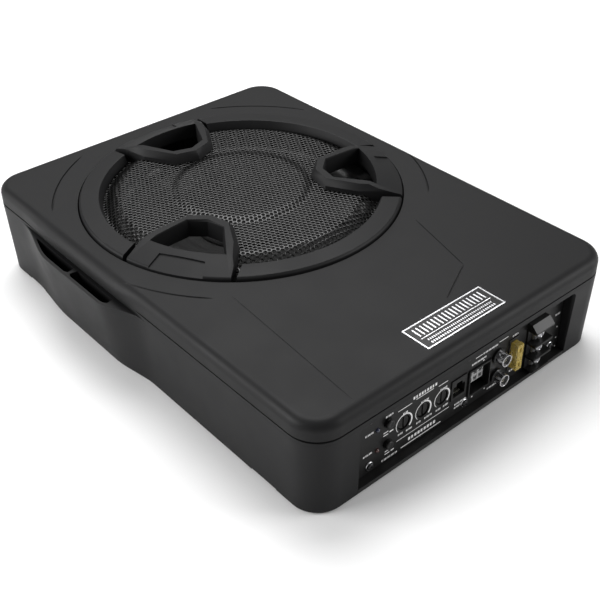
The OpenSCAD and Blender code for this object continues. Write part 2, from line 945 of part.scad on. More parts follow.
module control_panel() {
    color(black)
        difference() {
            box(
                -panel_w / 2 + seat_gap, face_y, panel_z0,
                [panel_w - 2 * seat_gap, panel_t, panel_top - seat_gap - panel_z0]);
            for (x = panel_screws_top)
                along_y(x, top_screw_z, face_y - over, panel_screw_r + seat_gap, panel_t + 2 * over);
            for (x = panel_screws_low)
                along_y(x, low_screw_z, face_y - over, panel_screw_r + seat_gap, panel_t + 2 * over);
            along_y(
                jack_screw.x, jack_screw.y, face_y - over,
                panel_screw_r + seat_gap, panel_t + 2 * over);
            for (x = pot_x)
                along_y(x, knob_z, face_y - over, knob_r + run_gap, panel_t + 2 * over);
            for (z = button_z)
                along_y(button_x, z, face_y - over, button_r + run_gap, panel_t + 2 * over);
            for (z = led_z)
                along_y(led_x, z, face_y - over, led_r + seat_gap, panel_t + 2 * over);
            for (z = jack_z)
                along_y(jack_x, z, face_y - over, jack_bush_r + seat_gap, panel_t + 2 * over);
            panel_window(rj_x0, rj_z0, rj_w, rj_h);
            panel_window(high_x0, high_z0, high_w, high_h);
            panel_window(fuse_x - holder_w / 2, fuse_z - holder_h / 2, holder_w, holder_h);
            panel_window(block_x - block_w / 2, block_z0, block_w, block_z1 - block_z0);
        }
}

// Rectangular window through the control panel, with the seat's clearance.
module panel_window(x0, z0, w, h) {
    box(
        x0 - seat_gap, face_y - over, z0 - seat_gap,
        [w + 2 * seat_gap, panel_t + 2 * over, h + 2 * seat_gap]);
}

module panel_screws() {
    color(steel) {
        for (x = panel_screws_top)
            panel_screw(x, top_screw_z, face_y, panel_t + 3.5);
        for (x = panel_screws_low)
            panel_screw(x, low_screw_z, face_y, panel_t + 3.2);
        panel_screw(jack_screw.x, jack_screw.y, face_y, panel_t + 5);
    }
}

// Three rotary controls on the back of the panel, with legs down to the board.
module pot_bodies() {
    side = 11;
    color([0.15, 0.35, 0.2])
        for (x = pot_x) {
            difference() {
                box(x - side / 2, back_y, knob_z - side / 2, [side, 4.5, side]);
                along_y(x, knob_z, back_y - over, 3 + run_gap, 5.5);
            }
            box(x - side / 2, back_y + 4.5, board_top, [side, 1, knob_z + side / 2 - board_top]);
            box(x - side / 2, back_y + 4.5, board_top, [side, 5, 1.5]);
        }
}

// Slotted control knob with its shaft, turned down the hole in the panel.
module knob(x) {
    knob_front = face_y + 0.6;
    color([0.12, 0.12, 0.12]) {
        difference() {
            along_y(x, knob_z, knob_front, knob_r, panel_t - 1.2);
            box(x - 0.6, knob_front - over, knob_z - knob_r, [1.2, over + 0.9, 2 * knob_r]);
        }
        along_y(x, knob_z, knob_front + panel_t - 1.2, 3, 4.4);
    }
}

module gain_knob() {
    knob(pot_x[0]);
}

module crossover_knob() {
    knob(pot_x[1]);
}

module boost_knob() {
    knob(pot_x[2]);
}

// Push switch cap: a round button on a square stem.
module push_button(z) {
    proud = 3;
    color([0.03, 0.03, 0.03]) {
        along_y(button_x, z, face_y - proud, button_r, proud + panel_t - 0.4);
        box(button_x - 1.5, back_y - 0.4, z - 1.5, [3, 4.4, 3]);
    }
}

module phase_button() {
    push_button(button_z[0]);
}

module input_button() {
    push_button(button_z[1]);
}

module switch_bodies() {
    side = 8;
    color([0.85, 0.85, 0.8])
        for (z = button_z) {
            difference() {
                box(button_x - side / 2, back_y + 1.9, z - side / 2, [side, 9, side]);
                box(
                    button_x - 1.5 - run_gap, back_y + 1.8, z - 1.5 - run_gap,
                    [3 + 2 * run_gap, 2.3 + push_travel + run_gap, 3 + 2 * run_gap]);
            }
        }
    // carrier that joins the upper switch to the lower one and to the board
    color([0.1, 0.3, 0.15])
        box(
            button_x - side / 2, back_y + 10.9, board_top,
            [side, 1.2, button_z[0] + side / 2 - board_top]);
}

// Round-nosed indicator lamp in the panel.
module led(z) {
    along_y(led_x, z, face_y, led_r, panel_t + 2.5);
    translate([led_x, face_y, z])
        difference() {
            sphere(led_r);
            translate([0, led_r, 0])
                cube(2 * led_r, center = true);
        }
}

module power_led() {
    color([0.1, 0.2, 0.9])
        led(led_z[0]);
}

module protect_led() {
    color([0.9, 0.15, 0.1])
        led(led_z[1]);
}

// Six-way modular socket for the bass remote's cord.
module remote_socket() {
    depth = 16;
    color([0.03, 0.03, 0.03])
        difference() {
            box(rj_x0, face_y - 0.8, rj_z0, [rj_w, depth, rj_h]);
            box(rj_x0 + 1.6, face_y - over - 0.8, rj_z0 + 2, [rj_w - 3.2, depth - 3, 7.6]);
            box(rj_x0 + 4, face_y - over - 0.8, rj_z0 + 9, [rj_w - 8, depth - 5, 3]);
        }
    color([0.03, 0.03, 0.03])
        box(rj_x0 + 2, board_y0 + 0.5, board_top, [rj_w - 4, 7, rj_z0 - board_top]);
}

// Shrouded socket for the head unit's speaker-level signal.
module high_level_socket() {
    depth = 16;
    shell = 1.4;
    color([0.7, 0.7, 0.7]) {
        difference() {
            box(high_x0, face_y - 1.2, high_z0, [high_w, depth, high_h]);
            box(
                high_x0 + shell, face_y - over - 1.2, high_z0 + shell,
                [high_w - 2 * shell, over + 1.2 + high_floor, high_h - 2 * shell]);
        }
        box(high_x0 + 2, board_y0 + 0.5, board_top, [high_w - 4, 7, high_z0 - board_top]);
    }
}

module high_level_pins() {
    pin = 0.8;
    color([0.85, 0.8, 0.6])
        for (col = [0 : 2])
            for (row = [0, 1])
                box(
                    high_x0 + high_w / 2 - pin / 2 + (col - 1) * 5, face_y + 3,
                    high_z0 + high_h / 2 - pin / 2 + (row - 0.5) * 7,
                    [pin, high_floor - 3, pin]);
}

// Moulded block behind both phono jacks.
module rca_block() {
    block_w2 = 12.4;
    color([0.04, 0.04, 0.04])
        difference() {
            union() {
                box(jack_x - block_w2 / 2, back_y + eps, board_top, [block_w2, 12, 38 - board_top]);
                for (z = jack_z)
                    along_y(jack_x, z, face_y - 1.5, jack_bush_r, panel_t + 1.6);
                box(
                    jack_x + block_w2 / 2 - over, back_y + eps, jack_screw.y - 3,
                    [jack_screw.x - jack_x - block_w2 / 2 + 3 + over, 12, 6]);
            }
            for (z = jack_z)
                along_y(jack_x, z, face_y - 3, 1.6, 14);
            along_y(jack_screw.x, jack_screw.y, back_y - over, panel_screw_r + thread_gap, 8);
        }
}

// Bright outer contacts of the phono jacks, with an insulator that holds the centre contact.
module rca_shells() {
    shell_l = 6;
    shell_y = face_y - 1.5 - shell_l;
    color([0.86, 0.86, 0.88])
        for (z = jack_z)
            difference() {
                along_y(jack_x, z, shell_y, jack_r, shell_l);
                along_y(jack_x, z, shell_y - over, 1.6, shell_l + 2 * over);
            }
}

module fuse_holder() {
    depth = 14;
    color([0.05, 0.05, 0.05])
        difference() {
            box(fuse_x - holder_w / 2, face_y - 0.6, fuse_z - holder_h / 2, [holder_w, depth, holder_h]);
            box(
                fuse_x - fuse_w / 2 - run_gap, face_y - over, fuse_z - fuse_h / 2 - run_gap,
                [fuse_w + 2 * run_gap, over + 5, fuse_h + 2 * run_gap]);
            for (s = [-1, 1])
                box(
                    fuse_x - 0.4 - run_gap, face_y, fuse_z + s * 5.6 - 2.6 - run_gap,
                    [0.8 + 2 * run_gap, 12.5, 5.2 + 2 * run_gap]);
        }
}

// Plug-in blade fuse: a translucent body that carries two blades.
module blade_fuse() {
    proud = 6;
    color([0.85, 0.72, 0.25]) {
        box(fuse_x - fuse_w / 2, face_y - proud, fuse_z - fuse_h / 2, [fuse_w, proud + 3.5, fuse_h]);
        box(
            fuse_x - fuse_w / 2 - 0.25, face_y - proud, fuse_z - fuse_h / 2 - 0.25,
            [fuse_w + 0.5, 3, fuse_h + 0.5]);
        for (s = [-1, 1])
            box(fuse_x - 0.4, face_y + 3.5 - eps, fuse_z + s * 5.6 - 2.6, [0.8, 8, 5.2]);
    }
}

// Barrier block for the supply and turn-on wires: three cells, open at the sides, under a hood.
module terminal_block() {
    front = end_y;
    floor_y = face_y - 1;
    color(black)
        difference() {
            union() {
                box(
                    block_x - block_w / 2, front, block_z0,
                    [block_w, -end_y + back_y + 2 + eps, block_z1 - block_z0]);
                box(
                    block_x - block_w / 2 + 2, back_y + 2, board_top,
                    [block_w - 4, 9, block_z1 - 6 - board_top]);
            }
            // sloped hood above the cells
            translate([block_x, front, block_z1])
                rotate([45, 0, 0])
                    cube([block_w + 2 * over, 6, 6], center = true);
            for (z = clamp_z) {
                box(
                    block_x - block_w / 2 - over, front - over, z - clamp_cell / 2,
                    [block_w + 2 * over, floor_y - front + over, clamp_cell]);
                along_y(block_x, z, floor_y - over, clamp_screw_r + run_gap, 14);
            }
        }
}

// Plated bars on the floor of the cells, which the wires are clamped to.
module terminal_bars() {
    bar_t = 0.8;
    color([0.8, 0.78, 0.7])
        for (z = clamp_z)
            difference() {
                box(block_x - 3.8, face_y - 1 - bar_t, z - 4, [7.6, bar_t, 8]);
                along_y(block_x, z, face_y - 3, clamp_screw_r + run_gap, 4);
            }
}

// Square washer that rides on a clamp screw.
module clamp_washer(z) {
    side = 7;
    color(steel)
        difference() {
            box(block_x - side / 2, face_y - 3, z - side / 2, [side, 1, side]);
            along_y(block_x, z, face_y - 4, clamp_screw_r + 0.05, 3);
        }
}

// Cross-headed clamp screw.
module clamp_screw(z) {
    head_r = 3.3;
    head_h = 2.2;
    color(steel)
        translate([block_x, face_y - 3, z])
            rotate([90, 0, 0]) {
                difference() {
                    cylinder(r = head_r, h = head_h);
                    for (a = [0, 90])
                        rotate([0, 0, a])
                            translate([0, 0, head_h])
                                cube([3.6, 0.9, 2.4], center = true);
                }
                translate([0, 0, -10])
                    cylinder(r = clamp_screw_r, h = 10);
            }
}

module clamp_washer_1() {
    clamp_washer(clamp_z[0]);
}

module clamp_washer_2() {
    clamp_washer(clamp_z[1]);
}

module clamp_washer_3() {
    clamp_washer(clamp_z[2]);
}

module clamp_screw_1() {
    clamp_screw(clamp_z[0]);
}

module clamp_screw_2() {
    clamp_screw(clamp_z[1]);
}

module clamp_screw_3() {
    clamp_screw(clamp_z[2]);
}

// ---------------------------------------------------------------- amplifier

module circuit_board() {
    color([0.05, 0.25, 0.12])
        difference() {
            box(-board_w / 2, board_y0, board_z, [board_w, board_y1 - board_y0, board_t]);
            for (p = board_holes)
                translate([p.x, p.y, board_z - over])
                    cylinder(r = 1.25 + seat_gap, h = board_t + 2 * over);
        }
}

module board_screws() {
    color(steel)
        for (p = board_holes)
            translate([p.x, p.y, board_top])
                socket_screw(1.25, board_t + 5, 2.5, 1.6);
}

// Finned bar that carries the power transistors' heat to the base plate.
module heat_sink() {
    sink_w = 120;
    fin_t = 1.5;
    color([0.6, 0.6, 0.62]) {
        box(-sink_w / 2, sink_y, plate_top, [sink_w, 4, 28]);
        for (i = [0 : 4])
            box(-sink_w / 2, sink_y + 4 - eps, plate_top + 3 + i * 5.5, [sink_w, 5, fin_t]);
    }
}

module power_transistors() {
    color([0.08, 0.08, 0.08])
        for (x = [-45, -30, 15, 30])
            union() {
                box(x - 5, sink_y - 4.6, board_top + 3, [10, 4.6, 15]);
                for (k = [-1, 0, 1])
                    box(x + k * 2.5 - 0.4, sink_y - 4, board_top, [0.8, 0.6, 3 + eps]);
            }
}

module capacitors() {
    can_r = 8;
    color([0.1, 0.1, 0.25])
        for (x = [-70, -50, 55, 75])
            translate([x, board_y0 + 36, board_top])
                cylinder(r = can_r, h = 24);
}

// Wound ring choke, standing flat on the board.
module choke() {
    color([0.6, 0.35, 0.15])
        translate([0, board_y0 + 36, board_top + 5])
            rotate_extrude()
                translate([11, 0])
                    circle(5, $fn = 32);
}

// Pair of wires from the board, over the amplifier and down to the woofer's tag strip.
module speaker_lead() {
    y0 = board_y1 - 9;
    y1 = ring_y - tag_r - 1.5;
    high_z = ledge_z - ledge_t - 3.5;
    tag_z = gap_z + seat_t + 3.5;
    color([0.6, 0.1, 0.08])
        for (sx = [-1, 1])
            translate([sx * 5, 0, 0]) {
                translate([0, y0, board_top])
                    cylinder(r = lead_r, h = high_z - board_top);
                translate([0, y0, high_z])
                    sphere(lead_r);
                along_y(0, high_z, y0, lead_r, y1 - y0);
                translate([0, y1, high_z])
                    sphere(lead_r);
                translate([0, y1, tag_z])
                    cylinder(r = lead_r, h = high_z - tag_z);
                translate([0, y1, tag_z])
                    sphere(lead_r);
                along_y(0, tag_z, y1, lead_r, 5);
            }
}

top_cover();
side_frame();
base_plate();
housing_gasket();
rubber_feet();
case_screws();
bracket_inserts();
badge_plate();
grille_ring();
grille_mesh();
grille_screws();
woofer_basket();
woofer_gasket();
woofer_screws();
surround();
cone();
dust_cap();
coil_former();
voice_coil();
spider();
top_plate();
magnet();
pole_yoke();
magnet_pad();
speaker_terminals();
control_panel();
panel_screws();
pot_bodies();
gain_knob();
crossover_knob();
boost_knob();
phase_button();
input_button();
switch_bodies();
power_led();
protect_led();
remote_socket();
high_level_socket();
high_level_pins();
rca_block();
rca_shells();
fuse_holder();
blade_fuse();
terminal_block();
terminal_bars();
clamp_washer_1();
clamp_washer_2();
clamp_washer_3();
clamp_screw_1();
clamp_screw_2();
clamp_screw_3();
circuit_board();
board_screws();
heat_sink();
power_transistors();
capacitors();
choke();
speaker_lead();
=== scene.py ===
# %% [markdown]
# # A powered car subwoofer
# A shallow cabinet that slides under a car seat. A moulded cover and side frame stand on a
# steel base plate, a shallow woofer plays up through a perforated sheet, and the amplifier's
# controls and sockets sit in a recess at one end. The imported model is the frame: every piece
# made here takes its place from a node of it, so nothing has to be fitted by eye.

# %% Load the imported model
import json
import math

import bmesh
import bpy
import numpy as np
from mathutils import Matrix, Vector


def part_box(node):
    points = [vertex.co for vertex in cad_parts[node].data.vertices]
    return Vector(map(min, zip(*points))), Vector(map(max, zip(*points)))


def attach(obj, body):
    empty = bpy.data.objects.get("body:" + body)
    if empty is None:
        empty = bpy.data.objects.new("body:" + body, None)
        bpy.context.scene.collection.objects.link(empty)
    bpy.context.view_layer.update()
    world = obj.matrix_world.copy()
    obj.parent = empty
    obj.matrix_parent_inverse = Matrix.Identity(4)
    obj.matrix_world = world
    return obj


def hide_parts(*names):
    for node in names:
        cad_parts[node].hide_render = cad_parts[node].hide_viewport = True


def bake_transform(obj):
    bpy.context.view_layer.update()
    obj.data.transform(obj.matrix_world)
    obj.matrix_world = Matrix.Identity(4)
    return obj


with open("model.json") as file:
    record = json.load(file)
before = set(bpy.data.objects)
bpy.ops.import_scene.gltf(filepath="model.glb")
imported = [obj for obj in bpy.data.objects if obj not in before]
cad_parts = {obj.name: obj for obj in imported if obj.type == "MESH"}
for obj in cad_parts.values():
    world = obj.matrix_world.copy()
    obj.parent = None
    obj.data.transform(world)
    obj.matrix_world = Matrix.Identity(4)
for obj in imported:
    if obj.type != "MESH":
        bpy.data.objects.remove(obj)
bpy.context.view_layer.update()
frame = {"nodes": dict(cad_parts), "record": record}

# %% [markdown]
# ## Sizes
# The pieces are drawn in millimetres, as on a workshop drawing, and turned into metres when
# their mesh is made. Whatever another piece depends on is read from the node it belongs to.
# A size that only shapes one piece is written where that piece is made.

# %% Read the main sizes
MM = 0.001


def span(node):
    """Lowest and highest corners of a node, in millimetres."""
    low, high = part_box(node)
    return np.array(low) / MM, np.array(high) / MM


cover_low, cover_high = span("top_cover")
frame_low, frame_high = span("side_frame")
seal_low, seal_high = span("housing_gasket")
ring_low, ring_high = span("grille_ring")
panel_low, panel_high = span("control_panel")

SEAL_INSET = 1.6
HALF_W = seal_high[0] + SEAL_INSET
HALF_L = cover_high[1]
DECK_Z = cover_high[2]
PARTING_Z = seal_high[2]
FRAME_TOP = frame_high[2]
FOOT_Z = frame_low[2]
CORNER_R = 20
WALL = 3
DRAFT = 2
RING_R = (ring_high[0] - ring_low[0]) / 2
RING_Y = (ring_high[1] + ring_low[1]) / 2
LEDGE_Z = ring_low[2]
CLAW_TOP = ring_high[2]
END_Y = -HALF_L
FACE_Y = panel_low[1]
BACK_Y = panel_high[1]
print("cabinet", 2 * HALF_W, "x", 2 * HALF_L, "x", DECK_Z, "mm, ring radius", RING_R)

# %% [markdown]
# ## Camera
# The camera looks down on one corner of the cabinet from about 0.7 m away, so that the deck,
# the panel's end and one long side all show. It could be aimed with a tracking constraint,
# but here its three directions are worked out from a turn, a tilt and a slight roll, so that
# each can be changed by itself.

# %% Camera
TURN, TILT, ROLL = math.radians(-40.51), math.radians(35.13), math.radians(-0.87)
back = Vector((math.sin(TURN) * math.cos(TILT), -math.cos(TURN) * math.cos(TILT), math.sin(TILT)))
level_right = Vector((0, 0, 1)).cross(back).normalized()
level_up = back.cross(level_right)
right = math.cos(ROLL) * level_right + math.sin(ROLL) * level_up
up = math.cos(ROLL) * level_up - math.sin(ROLL) * level_right
camera_data = bpy.data.cameras.new("camera")
camera_data.sensor_width = 36
camera_data.lens = 62.02
camera_data.shift_x = -0.005
camera_data.shift_y = -0.0413
camera = bpy.data.objects.new("camera", camera_data)
camera.matrix_world = Matrix((right, up, back)).transposed().to_4x4()
camera.location = (-0.3711, -0.4543, 0.4298)
bpy.context.collection.objects.link(camera)
bpy.context.scene.camera = camera
bpy.context.scene.view_settings.view_transform = "Standard"
print("camera stands", round(camera.location.length, 3), "m from the middle of the footprint")


# %% [markdown]
# ## Light
# The cabinet is matt black, so it is drawn by what it reflects. A small lamp would leave a
# hard glint on plastic. A large rectangle on each side and one overhead show the walls and
# the deck instead, while nothing bright stands behind the camera, and so the near corner
# between the walls falls dark. A pale surrounding lifts the shadows.


# %% Lights
def softbox(name, place, size, power):
    """Rectangular light that faces the cabinet."""
    data = bpy.data.lights.new(name, "AREA")
    data.shape = "RECTANGLE"
    data.size, data.size_y = size
    data.energy = power
    lamp = bpy.data.objects.new(name, data)
    lamp.location = place
    lamp.rotation_euler = (Vector((0, 0, 0.03)) - Vector(place)).to_track_quat("-Z", "Y").to_euler()
    bpy.context.collection.objects.link(lamp)
    return lamp


softbox("light_left", (-1.5, 0.8, 0.7), (1.2, 0.9), 30)
softbox("light_right", (1.35, -1.3, 0.7), (1.0, 0.9), 20)
softbox("light_top", (0.45, 0.75, 1.7), (1.3, 1.3), 34)

world = bpy.data.worlds.new("studio")
world.use_nodes = True
world.node_tree.nodes["Background"].inputs["Color"].default_value = (1.0, 1.0, 1.0, 1)
world.node_tree.nodes["Background"].inputs["Strength"].default_value = 0.36
bpy.context.scene.world = world

# %% [markdown]
# ## A small language for finishes
# A finish is a node graph, and a graph written node by node is hard to read. The class below
# wraps one output socket. Adding, subtracting or multiplying wrapped sockets makes
# the Math nodes, and `add` makes any other node. Object coordinates are used everywhere,
# because they need no unwrapping and travel with a piece when its joint moves.


# %% Sockets that can be added up
class Wire:
    """An output socket of a shader node that works in sums."""

    def __init__(self, tree, socket):
        self.tree = tree
        self.socket = socket

    def add(self, kind, settings=None, sockets=None, output=0):
        """A new node in the same graph: its settings first, then values or links of its sockets."""
        node = self.tree.nodes.new(kind)
        for name, value in (settings or {}).items():
            if name == "stops":
                ramp = node.color_ramp
                while len(ramp.elements) < len(value):
                    ramp.elements.new(0.5)
                for element, (position, shade) in zip(ramp.elements, value):
                    element.position = position
                    element.color = (shade, shade, shade, 1)
            else:
                setattr(node, name, value)
        for name, value in (sockets or {}).items():
            if isinstance(value, Wire):
                self.tree.links.new(value.socket, node.inputs[name])
            else:
                node.inputs[name].default_value = value
        return Wire(self.tree, node.outputs[output])

    def math(self, operation, first, second=0.0):
        return self.add("ShaderNodeMath", {"operation": operation}, {0: first, 1: second})

    def __add__(self, other):
        return self.math("ADD", self, other)

    __radd__ = __add__

    def __sub__(self, other):
        return self.math("SUBTRACT", self, other)

    def __rsub__(self, other):
        return self.math("SUBTRACT", other, self)

    def __mul__(self, other):
        return self.math("MULTIPLY", self, other)

    __rmul__ = __mul__

    def noise(self, size_mm, detail=2.0, stretch=None):
        """Cloudy pattern whose patches are about size_mm across, from 0 to 1."""
        place = self
        if stretch:
            place = self.add("ShaderNodeVectorMath", {"operation": "MULTIPLY"}, {0: self, 1: stretch})
        return place.add(
            "ShaderNodeTexNoise", {},
            {"Vector": place, "Scale": 1 / (size_mm * MM), "Detail": detail})

    def ramp(self, low, high):
        """0 below low, 1 above high and smooth between."""
        return self.add(
            "ShaderNodeMapRange",
            {"interpolation_type": "SMOOTHSTEP"},
            {"Value": self, "From Min": low, "From Max": high})

    def between(self, first, second):
        """Colour that goes from first to second as this value goes from 0 to 1."""
        return self.add("ShaderNodeMix", {"data_type": "RGBA"}, {0: self, 6: first, 7: second}, output=2)

    def bump(self, height_mm, strength=1.0):
        """Surface normal of a relief that this value draws, height_mm deep."""
        return self.add(
            "ShaderNodeBump", {}, {"Height": self, "Distance": height_mm * MM, "Strength": strength})


# %% [markdown]
# A finish starts from the place on the piece and ends in the shader. What changes over the
# surface arrives as a wire. What is the same all over is set on the shader's own socket, so
# that it isn't lost when the finish is carried to another program.


# %% Start a finish and put it together

def grey(level, tint=0.0):
    """A grey in linear light, slightly cool when tint is above 0."""
    return (level, level, level * (1 + tint), 1)


finishes = {}


def finish(name, colour, roughness, normal=None, **fixed):
    """Puts a finish together: wires go to sockets as links, plain values are set on the socket."""
    tree = colour.tree
    shader = tree.nodes["Principled BSDF"]
    for socket, value in (("Base Color", colour), ("Roughness", roughness), ("Normal", normal)):
        if isinstance(value, Wire):
            tree.links.new(value.socket, shader.inputs[socket])
        elif value is not None:
            shader.inputs[socket].default_value = value
    for socket, value in fixed.items():
        shader.inputs[socket.replace("_", " ")].default_value = value
    print("finish:", name)


def start(name):
    """New finish under this name, with the place on the piece as its first wire."""
    material = bpy.data.materials.new(name)
    material.use_nodes = True
    finishes[name] = material
    places = material.node_tree.nodes.new("ShaderNodeTexCoord")
    return Wire(material.node_tree, places.outputs["Object"])


# %% [markdown]
# ## Finishes
# The cabinet is moulded with a fine spark-eroded grain, so that it doesn't shine and doesn't
# show scratches: small relief, slight clouding, and a roughness that varies a little. The
# same recipe with other numbers gives every moulded piece. Rubber is rougher and duller.


# %% Moulded plastic and rubber
def moulded(name, shade, rough, grain_mm=0.45, grain_depth=0.02, tint=0.02, **fixed):
    """Moulded plastic with a fine grain and slight clouding."""
    place = start(name)
    cloud = place.noise(28, 3).ramp(0.3, 0.7)
    speck = place.noise(grain_mm, 1)
    mix = cloud * 0.6 + speck * 0.4
    dark = tuple(c * 0.86 for c in shade[:3]) + (1,)
    light = tuple(min(1, c * 1.16) for c in shade[:3]) + (1,)
    relief = speck * 0.7 + place.noise(grain_mm * 0.4, 1) * 0.3
    finish(
        name, mix.between(dark, light), rough - 0.05 + mix * 0.1,
        relief.bump(grain_depth, 0.5), **fixed)


moulded("cabinet_paint", grey(0.0075, 0.05), 0.52, Specular_IOR_Level=0.17)
moulded("control_plastic", grey(0.004), 0.4, grain_mm=0.3, grain_depth=0.006, Specular_IOR_Level=0.3)
moulded("part_plastic", (0.42, 0.42, 0.38, 1), 0.5)
moulded("pot_case", (0.03, 0.12, 0.05, 1), 0.45)
moulded("socket_plastic", grey(0.3), 0.5, grain_mm=0.3, grain_depth=0.008)
moulded("seal_rubber", grey(0.01), 0.75)
moulded("foot_rubber", grey(0.014), 0.8, grain_mm=0.8, grain_depth=0.03)
moulded("surround_rubber", grey(0.022), 0.38, grain_mm=0.8, grain_depth=0.01)
moulded("pad_foam", grey(0.012), 0.95, grain_mm=1.2, grain_depth=0.25)
moulded("tag_board", (0.4, 0.24, 0.1, 1), 0.55)
moulded("can_sleeve", (0.012, 0.016, 0.07, 1), 0.3)
moulded("wire_red", (0.5, 0.02, 0.015, 1), 0.4)
moulded("former_film", (0.55, 0.3, 0.06, 1), 0.25)


# %% [markdown]
# Painted steel shows a faint orange peel: the paint pulls into shallow waves a millimetre or
# two across. The perforated sheet has the glossiest paint, which is why its slopes glint.
# Plated and bare metals are fully metallic, with fine streaks along their rolling or turning
# direction and a few dull patches.


# %% Painted and bare metals
def painted(name, shade, rough, peel_mm=1.6, peel_depth=0.01, **fixed):
    """Powder or enamel paint over steel."""
    place = start(name)
    peel = place.noise(peel_mm, 2)
    dust = place.noise(9, 4).ramp(0.45, 0.8)
    light = tuple(c * 1.5 for c in shade[:3]) + (1,)
    finish(name, dust.between(shade, light), rough - 0.04 + dust * 0.1, peel.bump(peel_depth, 0.6), **fixed)


def metal(name, shade, rough, streak=(1, 1, 12), streak_mm=2.5, **fixed):
    """Bare or plated metal with streaks along one direction."""
    place = start(name)
    streaks = place.noise(streak_mm, 3, stretch=streak)
    patches = place.noise(6, 3).ramp(0.4, 0.75)
    dull = tuple(c * 0.78 for c in shade[:3]) + (1,)
    finish(
        name, patches.between(shade, dull), rough - 0.04 + streaks * 0.1 + patches * 0.06,
        streaks.bump(0.004, 0.4), Metallic=1.0, **fixed)


painted("plate_paint", grey(0.006), 0.5, Specular_IOR_Level=0.3)
painted("panel_paint", grey(0.006), 0.46, peel_mm=1.0, Specular_IOR_Level=0.22)
painted("grille_steel", grey(0.008), 0.3, Specular_IOR_Level=0.45)
painted("basket_steel", grey(0.014), 0.42)
painted("board_green", (0.01, 0.09, 0.03, 1), 0.3)
metal("zinc_steel", (0.62, 0.62, 0.64, 1), 0.3)
metal("insert_brass", (0.75, 0.52, 0.22, 1), 0.3)
metal("badge_metal", (0.72, 0.72, 0.74, 1), 0.3, streak=(0.05, 3, 3), streak_mm=0.6)
metal("copper_wire", (0.75, 0.32, 0.14, 1), 0.3, streak=(1, 1, 30))
metal("contact_tin", (0.72, 0.7, 0.62, 1), 0.35)
metal("jack_nickel", (0.86, 0.86, 0.88, 1), 0.16, streak=(1, 0.1, 1), streak_mm=0.8)
metal("sink_aluminium", (0.75, 0.75, 0.77, 1), 0.38, streak=(0.05, 3, 3), streak_mm=0.8)
metal("black_screw", (0.05, 0.05, 0.052, 1), 0.35)
painted("badge_black", grey(0.005), 0.35, Specular_IOR_Level=0.3)

# %% [markdown]
# The cone is pressed from paper pulp, so it has short fibres and a soft unevenness. The
# spider that centres the voice coil is woven cloth stiffened with resin. Ferrite is a fired
# ceramic with a sandy surface. Ink is opaque and slightly uneven, the fuse's body is a clear
# amber plastic, and the lamps are small diffused lenses.


# %% Paper, cloth, ferrite, ink and lenses
place = start("cone_paper")
fibres = place.noise(0.9, 6)
finish(
    "cone_paper", fibres.ramp(0.3, 0.75).between(grey(0.016), grey(0.034)), 0.72 + fibres * 0.15,
    fibres.bump(0.08, 0.8))

place = start("spider_cloth")
weave = place.add("ShaderNodeTexVoronoi", {}, {"Vector": place, "Scale": 1 / (0.7 * MM)})
finish(
    "spider_cloth", weave.ramp(0.1, 0.7).between((0.6, 0.42, 0.15, 1), (0.35, 0.22, 0.07, 1)), 0.8,
    (1 - weave).bump(0.15, 0.8))

place = start("ferrite")
sand = place.noise(0.5, 4)
finish("ferrite", sand.between(grey(0.03), grey(0.07)), 0.6 + sand * 0.2, sand.bump(0.03, 0.8))

place = start("print_ink")
ink = place.noise(0.6, 3)
finish("print_ink", ink.between(grey(0.62), grey(0.8)), 0.5 + ink * 0.1, ink.bump(0.004, 0.5))

place = start("fuse_amber")
flow = place.noise(3, 3)
finish(
    "fuse_amber", flow.between((0.5, 0.36, 0.06, 1), (0.68, 0.52, 0.14, 1)), 0.1 + flow * 0.1,
    flow.bump(0.01, 0.4), Alpha=0.5)

for name, tone in (("led_blue", (0.008, 0.012, 0.035, 1)), ("led_red", (0.035, 0.008, 0.006, 1))):
    place = start(name)
    haze = place.noise(0.7, 2)
    pale = tuple(c * 1.6 for c in tone[:3]) + (1,)
    finish(name, haze.between(tone, pale), 0.15 + haze * 0.15, haze.bump(0.004, 0.5), Coat_Weight=0.5)

# %% [markdown]
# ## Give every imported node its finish
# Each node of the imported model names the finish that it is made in. Nodes whose shape is
# already right, such as the magnet or the circuit board, keep their mesh and only get this.
# The visible ones are replaced further down by pieces with rounded edges and finer detail.

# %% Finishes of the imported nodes
finish_of = {part["node"]: part["material_slot"] for part in frame["record"]["subparts"]}
for node, cad_object in frame["nodes"].items():
    cad_object.data.materials.clear()
    cad_object.data.materials.append(finishes[finish_of[node]])
print(len(finish_of), "nodes,", len(finishes), "finishes")

# %% [markdown]
# ## The floor
# The cabinet stands on pale paper. One square, much larger than the view, is enough, because
# the object is what is studied.

# %% Lay the floor
place = start("floor_paper")
tone = place.noise(400, 2)
finish("floor_paper", tone.between(grey(0.86), grey(0.9)), 0.7)
CORNERS = ((-1, -1), (1, -1), (1, 1), (-1, 1))
FLOOR_HALF = 6
floor_mesh = bpy.data.meshes.new("floor")
floor_mesh.from_pydata([(x * FLOOR_HALF, y * FLOOR_HALF, 0) for x, y in CORNERS], [], [(0, 1, 2, 3)])
floor_mesh.materials.append(finishes["floor_paper"])
floor = bpy.data.objects.new("floor", floor_mesh)
bpy.context.collection.objects.link(floor)

# %% [markdown]
# ## Shapes from rings
# Nearly every piece here is a row of rings joined by faces: a turned part is one circle
# scaled along a profile, a moulding is one outline repeated up its height. A shape is a pair
# of points and faces, so shapes can be joined, moved and mirrored before they become a mesh.


